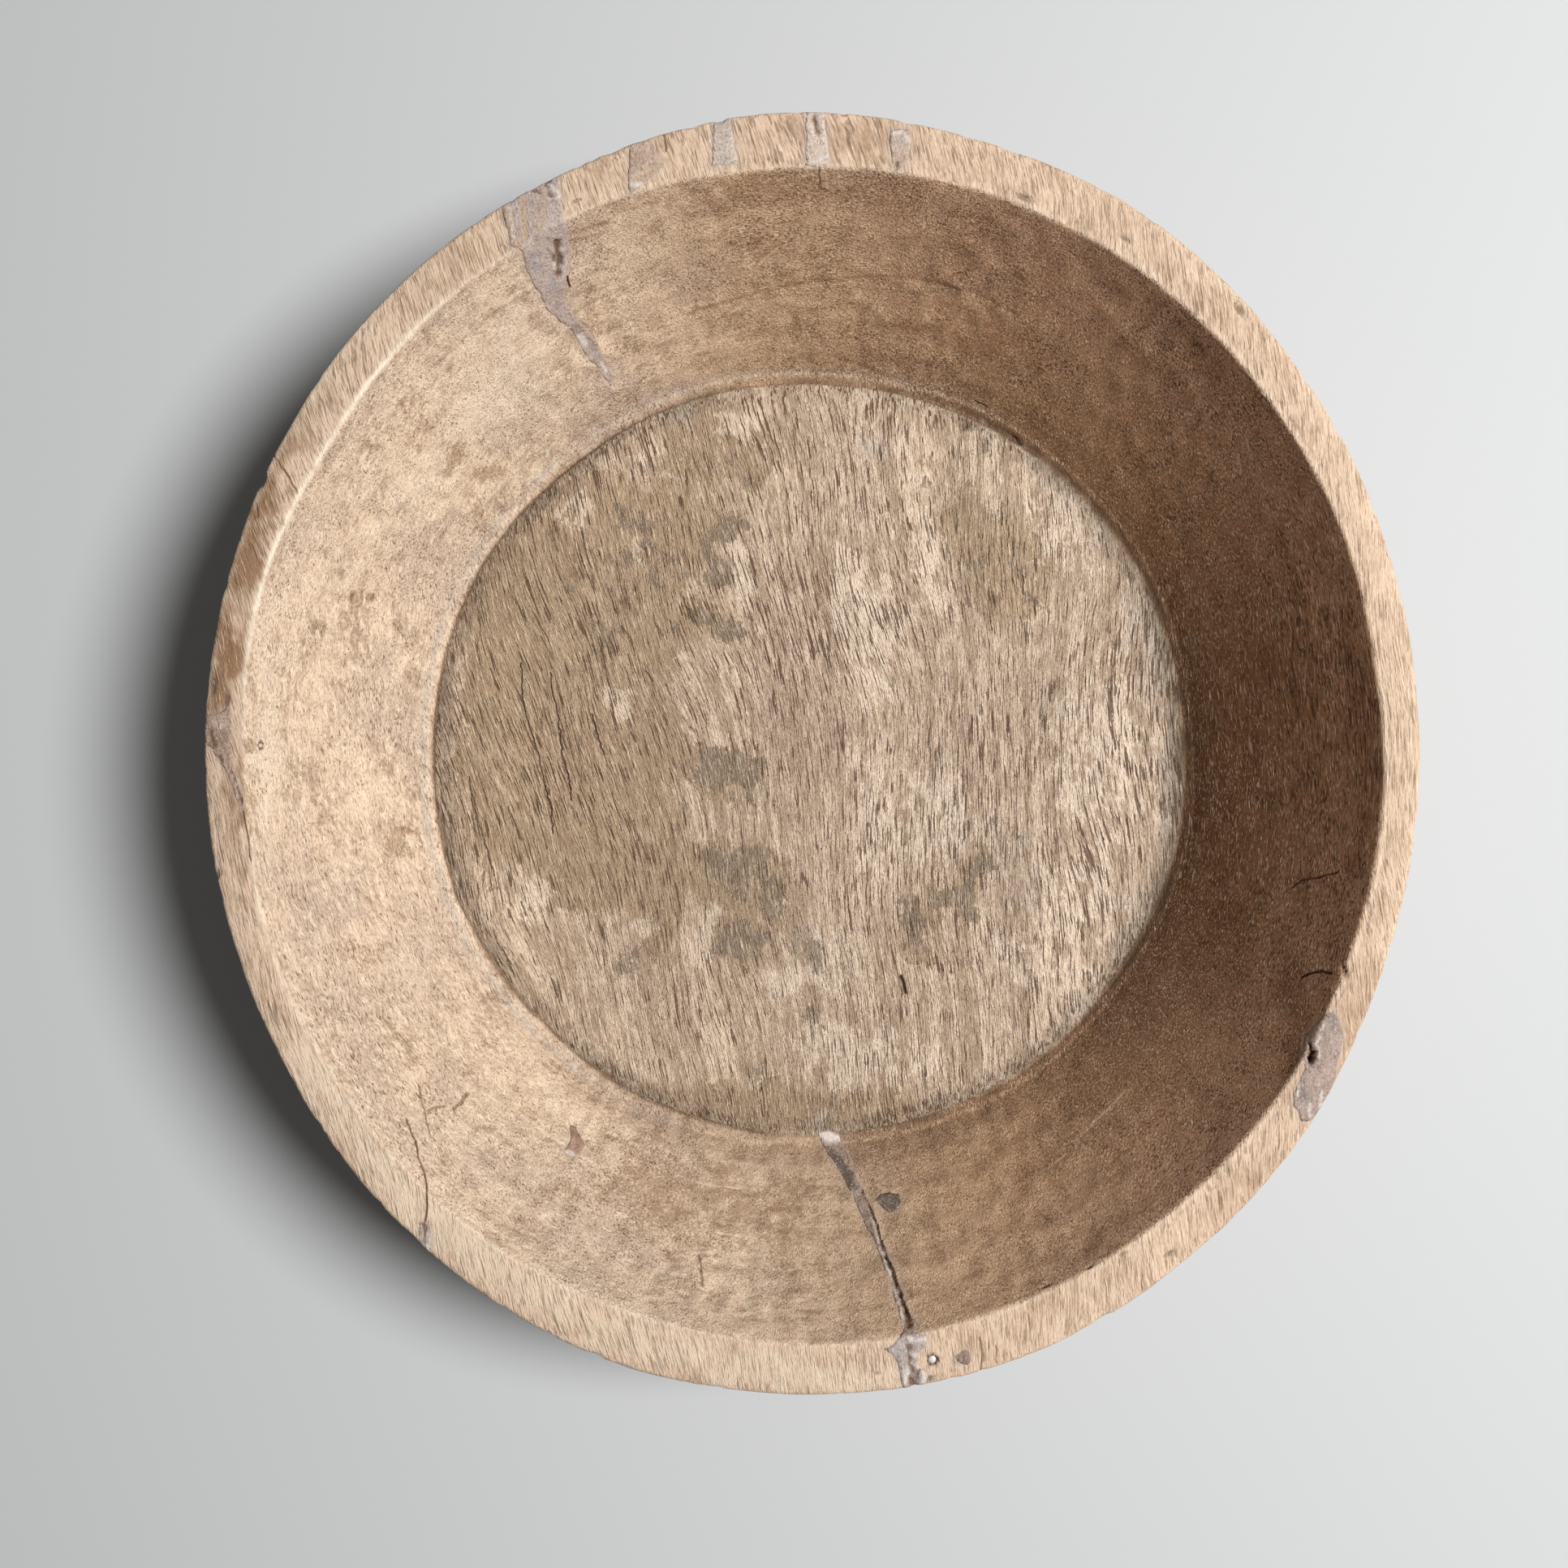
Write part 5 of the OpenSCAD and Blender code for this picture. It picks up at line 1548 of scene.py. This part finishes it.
def rim_colour(s, n, m, pale):
    """Rim with strands along the grain and brown places; those on the left rim's rolled outer edge are
    painted shade.
    """
    tone = s.step(blend(s, (n.bands, 0.15), (n.mottle, 0.4), (n.strand, 0.45)), 0.36, 0.55)
    rim = s.lay(s.mix(RIM_DEEP, RIM_LIGHT, tone), RIM_PALE, pale, 0.7)
    soft = s.step(blend(s, (n.mottle, 0.3), (n.strand, 0.3), (n.clouds, 0.4), (m.brown, 0.9)), 0.62, 1.22)
    return s.lay(rim, RIM_BROWN_AND_SHADE, soft, 0.85)


def outside_colour(s, n):
    """Plain banded wood."""
    tone = s.step(blend(s, (n.bands, 0.4), (n.clouds, 0.3), (n.strand, 0.3)), 0.36, 0.62)
    return s.mix(OUT_DEEP, OUT_LIGHT, tone)


def with_fibres(s, n, m, colour):
    """A colour with dark and pale fibres and specks."""
    thread = blend(s, (m.floor, 0.66), (m.rim, 0.62), (m.out, 0.3), (m.wall, 0.46), (m.shade, 0.5))
    colour = s.lay(colour, FIBRE_DARK, s.step(n.fibre, 0.34, 0.47, 1.0, 0.0), thread)
    colour = s.lay(colour, WORN, s.step(n.fibre, 0.55, 0.68, 0.0, 0.75), thread)
    speck = blend(s, (m.floor, 0.22), (m.wall, 0.42), (m.rim, 0.16), (m.out, 0.2))
    colour = s.lay(colour, FIBRE_DARK, s.step(n.fuzz, 0.54, 0.68), speck)
    return s.lay(colour, WORN, s.step(n.fuzz, 0.32, 0.45, 0.6, 0.0), speck)


def open_pores(s, n, m, crust):
    """How far each place is sunk in an open pore."""
    opening = blend(s, (n.patch, 0.36), (n.clouds, 0.24), (crust, -0.05), (m.edge, 0.06))
    pores = s.step(s.math("SUBTRACT", n.pore, opening), 0.03, 0.10, 1.0, 0.0)
    shares = blend(s, (m.floor, 0.85), (m.rim, 0.48), (m.out, 0.35), (m.wall, 0.28), (m.shade, 0.6))
    return s.times(pores, shares)


def with_wear_and_painted_light(s, n, m, colour):
    """A colour with worn edges carrying a painted highlight, scratches, the painted shadow in the groove,
    smeared putty and cracks.
    """
    # Pale worn edges with a painted highlight where they face the lamp.
    worn_and_highlight = s.times(m.arris, s.step(blend(s, (n.patch, 0.7), (n.clouds, 0.3)), 0.38, 0.56))
    colour = s.mix(colour, ARRIS_PALE_AND_HIGHLIGHT, s.times(worn_and_highlight, 0.85, clamp=True))
    colour = s.lay(colour, WORN, m.scratch, 0.7)
    # Painted shadow in the groove round the floor.
    colour = s.lay(colour, GROOVE_SHADOW_DARK, m.groove, 0.92)
    colour = s.lay(colour, SMEAR, m.seam, s.step(n.fuzz, 0.35, 0.6, 0.15, 0.6))
    return s.mix(colour, CRACK_DARK, m.dark)


def wood_bump(s, n, m, crust, sunk):
    """Torn fibres with lumps over them."""
    torn = blend(s, (m.floor, 1.0), (m.wall, 0.4), (m.shade, 0.3), (m.rim, 0.3), (m.out, 0.7))
    fibres = s.times(s.math("SUBTRACT", n.fibre, s.times(sunk, 0.8)), torn)
    coarse = blend(s, (m.floor, 0.7), (m.wall, 0.3), (m.rim, 0.22), (m.out, 0.8))
    lumps = s.times(blend(s, (n.fuzz, 1.0), (n.patch, 1.0), (crust, 0.12)), coarse)
    return s.bump(lumps, 1.7, 0.8, s.bump(fibres, 1.2, 0.8))


def wood_material():
    """Dry old wood: open pores along the grain, stains on the floor, worn arrises with a painted highlight,
    specks, and painted shade on the wall away from the lamp and in the floor's groove.
    """
    s = Shader("bowl_wood_look")
    n, m = wood_noises(s), wood_masks(s)
    crust = s.step(blend(s, (n.patch, 2.6), (m.crust, 0.9), (n.fuzz, 0.5)), 2.03, 2.13)
    pale = s.step(blend(s, (n.patch, 1.5), (m.pale, 0.8), (n.fibre, 0.4)), 1.10, 1.50)
    grey = s.step(blend(s, (n.patch, 1.2), (m.grey, 1.0)), 0.85, 1.45)
    brown = s.step(blend(s, (n.patch, 1.3), (m.brown, 0.9), (n.fuzz, 1.0)), 1.33, 1.78)
    wall = wall_colour(s, n, m, grey, pale, brown)
    colour = s.mix(wall, floor_colour(s, n, m, crust, grey, brown), m.floor)
    colour = s.mix(colour, rim_colour(s, n, m, pale), m.rim)
    colour = s.mix(colour, outside_colour(s, n), m.out)
    colour = with_fibres(s, n, m, colour)
    sunk = open_pores(s, n, m, crust)
    colour = with_wear_and_painted_light(s, n, m, s.mix(colour, PORE, sunk))
    normal = wood_bump(s, n, m, crust, sunk)
    rough = s.math("MULTIPLY_ADD", n.fuzz, 0.35, 0.58)
    return s.finish(colour, rough, normal, Specular_IOR_Level=0.25)


def putty_material(name, base, deep, blue_colour, smear_colour):
    """Hard filler: streaked, crumbly, scraped level, with brown hollows and pale crumbs."""
    s = Shader(name)
    place = s.place()
    pale, hollow, smear, blue = s.masks("tone")
    streaks = s.noise(s.scaled(grain_place(s, place), (0.8, 6.0, 1.0)), 3.0, 0.6)
    lumps = s.noise(s.scaled(place, (1.1, 1.1, 1.1)), 4.0, 0.66)
    clouds = s.noise(s.scaled(place, (8.0, 8.0, 8.0)), 3.0, 0.6)
    colour = s.mix(deep, base, s.step(blend(s, (streaks, 0.5), (clouds, 0.5)), 0.38, 0.60))
    colour = s.lay(colour, blue_colour, blue, 0.85)
    colour = s.lay(colour, smear_colour, smear, 0.8)
    colour = s.mix(colour, HOLLOW_BROWN, s.step(lumps, 0.53, 0.66, 0.0, 0.55))
    colour = s.mix(colour, PALE_CRUMB, s.step(lumps, 0.34, 0.45, 0.45, 0.0))
    colour = s.mix(colour, HOLLOW_BROWN, s.times(hollow, 0.9, clamp=True))
    colour = s.mix(colour, CRACK_DARK, s.step(hollow, 1.0, 1.7))
    colour = s.lay(colour, PALE_CRUMB, pale, s.step(lumps, 0.25, 0.55))
    normal = s.bump(blend(s, (lumps, 1.0), (streaks, 0.6)), 0.8, 0.8)
    rough = s.math("MULTIPLY_ADD", lumps, 0.4, 0.46)
    return s.finish(colour, rough, normal, Specular_IOR_Level=0.3)


# The nail's near-white colour is partly painted sheen on its worn head.
NAIL_PALE_AND_SHEEN, NAIL_DULL = (0.92, 0.89, 0.88), (0.56, 0.52, 0.50)
PIN_BRIGHT, PIN_DULL = (0.80, 0.66, 0.52), (0.52, 0.38, 0.27)
RUST = (0.16, 0.075, 0.035)


def steel_material(name, bright, dull):
    """Worn bright steel with rust in patches and round its edge."""
    s = Shader(name)
    place = s.place()
    fine = s.noise(s.scaled(place, (0.35, 0.35, 0.35)), 5.0, 0.65)
    patches = s.noise(s.scaled(place, (1.3, 1.3, 1.3)), 3.0, 0.55)
    geometry = s.node("ShaderNodeNewGeometry")
    rust = s.step(patches, 0.56, 0.72)
    edge = s.step(geometry.outputs["Pointiness"], 0.50, 0.56)
    colour = s.mix(bright, dull, s.step(fine, 0.40, 0.72))
    colour = s.mix(colour, RUST, s.math("MAXIMUM", rust, s.times(edge, 0.3)))
    rough = s.math("MULTIPLY_ADD", rust, 0.35, 0.34)
    normal = s.bump(fine, 0.12, 0.6)
    return s.finish(colour, rough, normal, Metallic=0.3)


GROUND_COLOUR, GROUND_ROUGHNESS, GROUND_HALF = (0.565, 0.575, 0.575, 1.0), 0.8, 6.0


def floor_material():
    """Pale even ground."""
    s = Shader("pale_floor")
    s.body.inputs["Base Color"].default_value = GROUND_COLOUR
    s.body.inputs["Roughness"].default_value = GROUND_ROUGHNESS
    return s.material


# Each filler's slot and its colours: face, shaded face, blue-grey places, wood smeared over it.
PUTTY = {
    "upper_split_filler": (
        "mauve_putty", (0.54, 0.435, 0.385), (0.40, 0.31, 0.265), (0.43, 0.37, 0.355), (0.52, 0.36, 0.235),
    ),
    "lower_split_filler": (
        "grey_putty", (0.42, 0.325, 0.27), (0.28, 0.21, 0.17), (0.125, 0.096, 0.082), (0.33, 0.21, 0.13),
    ),
    "lower_rim_filler": (
        "mauve_putty", (0.52, 0.435, 0.395), (0.36, 0.285, 0.26), (0.42, 0.375, 0.36), (0.48, 0.34, 0.23),
    ),
    "corner_crack_filler": (
        "mauve_putty", (0.52, 0.41, 0.355), (0.38, 0.285, 0.235), (0.40, 0.36, 0.34), (0.52, 0.37, 0.25),
    ),
    "rim_plug_1": (
        "mauve_putty", (0.55, 0.41, 0.31), (0.42, 0.305, 0.225), (0.45, 0.40, 0.37), (0.54, 0.385, 0.26),
    ),
    "rim_plug_2": (
        "mauve_putty", (0.60, 0.505, 0.43), (0.49, 0.41, 0.35), (0.50, 0.46, 0.43), (0.66, 0.53, 0.42),
    ),
    "rim_plug_3": (
        "mauve_putty", (0.70, 0.575, 0.475), (0.54, 0.43, 0.35), (0.50, 0.45, 0.42), (0.72, 0.57, 0.44),
    ),
    "rim_plug_4": (
        "mauve_putty", (0.58, 0.445, 0.355), (0.45, 0.34, 0.27), (0.43, 0.38, 0.35), (0.56, 0.41, 0.29),
    ),
    "right_rim_filler": (
        "mauve_putty", (0.43, 0.325, 0.27), (0.32, 0.24, 0.195), (0.26, 0.22, 0.205), (0.34, 0.23, 0.17),
    ),
    "left_rim_filler": (
        "grey_putty", (0.48, 0.345, 0.265), (0.32, 0.205, 0.14), (0.40, 0.33, 0.29), (0.36, 0.22, 0.13),
    ),
    "rim_dent_plug": (
        "dark_plug", (0.30, 0.212, 0.182), (0.21, 0.143, 0.118), (0.33, 0.27, 0.25), (0.30, 0.19, 0.13),
    ),
    "wall_spot_filler": (
        "grey_putty", (0.205, 0.163, 0.122), (0.13, 0.099, 0.072), (0.19, 0.165, 0.135), (0.22, 0.15, 0.10),
    ),
    "wall_chip_filler": (
        "mauve_putty", (0.42, 0.265, 0.19), (0.30, 0.18, 0.12), (0.40, 0.32, 0.28), (0.36, 0.22, 0.14),
    ),
}


def settle(piece, node, look):
    """Gives a piece its material and lets it stand for its CAD node."""
    piece.data.materials.append(look)
    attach(piece, "root")
    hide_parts(node)


def make_object():
    """Every piece of the bowl with its material."""
    wood = wood_material()
    settle(make_bowl(), "bowl_body", wood)
    for node, rings, thick in FILLERS:
        slot, *colours = PUTTY[node]
        piece = make_filler(node, rings, thick)
        settle(piece, node, putty_material(node + "_look", *colours))
    nail = make_driven("nail_piece", NAIL_PLACE, NAIL_OUTLINE, NAIL_TOP)
    settle(nail, "rim_nail", steel_material("nail_look", NAIL_PALE_AND_SHEEN, NAIL_DULL))
    pin = make_driven("pin_piece", PIN_PLACE, PIN_OUTLINE, PIN_TOP)
    settle(pin, "wall_pin", steel_material("pin_look", PIN_BRIGHT, PIN_DULL))


# Light from the photograph's right, with a weak even fill.
KEY_AZIMUTH, KEY_HEIGHT, KEY_FAR = math.radians(6.5), math.radians(57), 2.5
KEY_SIZE, KEY_WATTS = 0.9, 81.0
FILL_COLOUR, FILL_STRENGTH = (1.0, 0.99, 0.97), 0.09


def make_ground():
    """Flat square on which the bowl stands."""
    corners = [(x * GROUND_HALF, y * GROUND_HALF, 0) for x, y in ((-1, -1), (1, -1), (1, 1), (-1, 1))]
    mesh = bpy.data.meshes.new("ground")
    mesh.from_pydata(corners, [], [(0, 1, 2, 3)])
    mesh.materials.append(floor_material())
    ground = scene_object("ground", mesh)


def make_lights():
    """One round lamp from the photograph's right, and an even sky."""
    flat = math.cos(KEY_HEIGHT)
    aim = Vector((flat * math.cos(KEY_AZIMUTH), flat * math.sin(KEY_AZIMUTH), math.sin(KEY_HEIGHT)))
    lamp = bpy.data.lights.new("key", "AREA")
    lamp.shape = "DISK"
    lamp.size = KEY_SIZE
    lamp.energy = KEY_WATTS
    key = scene_object("key", lamp)
    key.location = aim * KEY_FAR
    key.rotation_euler = aim.to_track_quat("Z", "Y").to_euler()
    world = bpy.data.worlds.new("studio")
    world.use_nodes = True
    back = world.node_tree.nodes["Background"]
    back.inputs["Color"].default_value = (*FILL_COLOUR, 1.0)
    back.inputs["Strength"].default_value = FILL_STRENGTH
    bpy.context.scene.world = world


def make_camera():
    """Camera straight above the bowl, looking down."""
    data = bpy.data.cameras.new("camera")
    data.lens = CAMERA_LENS
    data.sensor_width = CAMERA_SENSOR
    data.clip_start = CAMERA_NEAR * MM
    camera = scene_object("camera", data)
    camera.location = (CAMERA_XY[0] * MM, CAMERA_XY[1] * MM, (HEIGHT + CAMERA_RISE) * MM)
    bpy.context.scene.camera = camera
    bpy.context.scene.view_settings.view_transform = "Standard"


make_camera()
make_ground()
make_lights()
make_object()
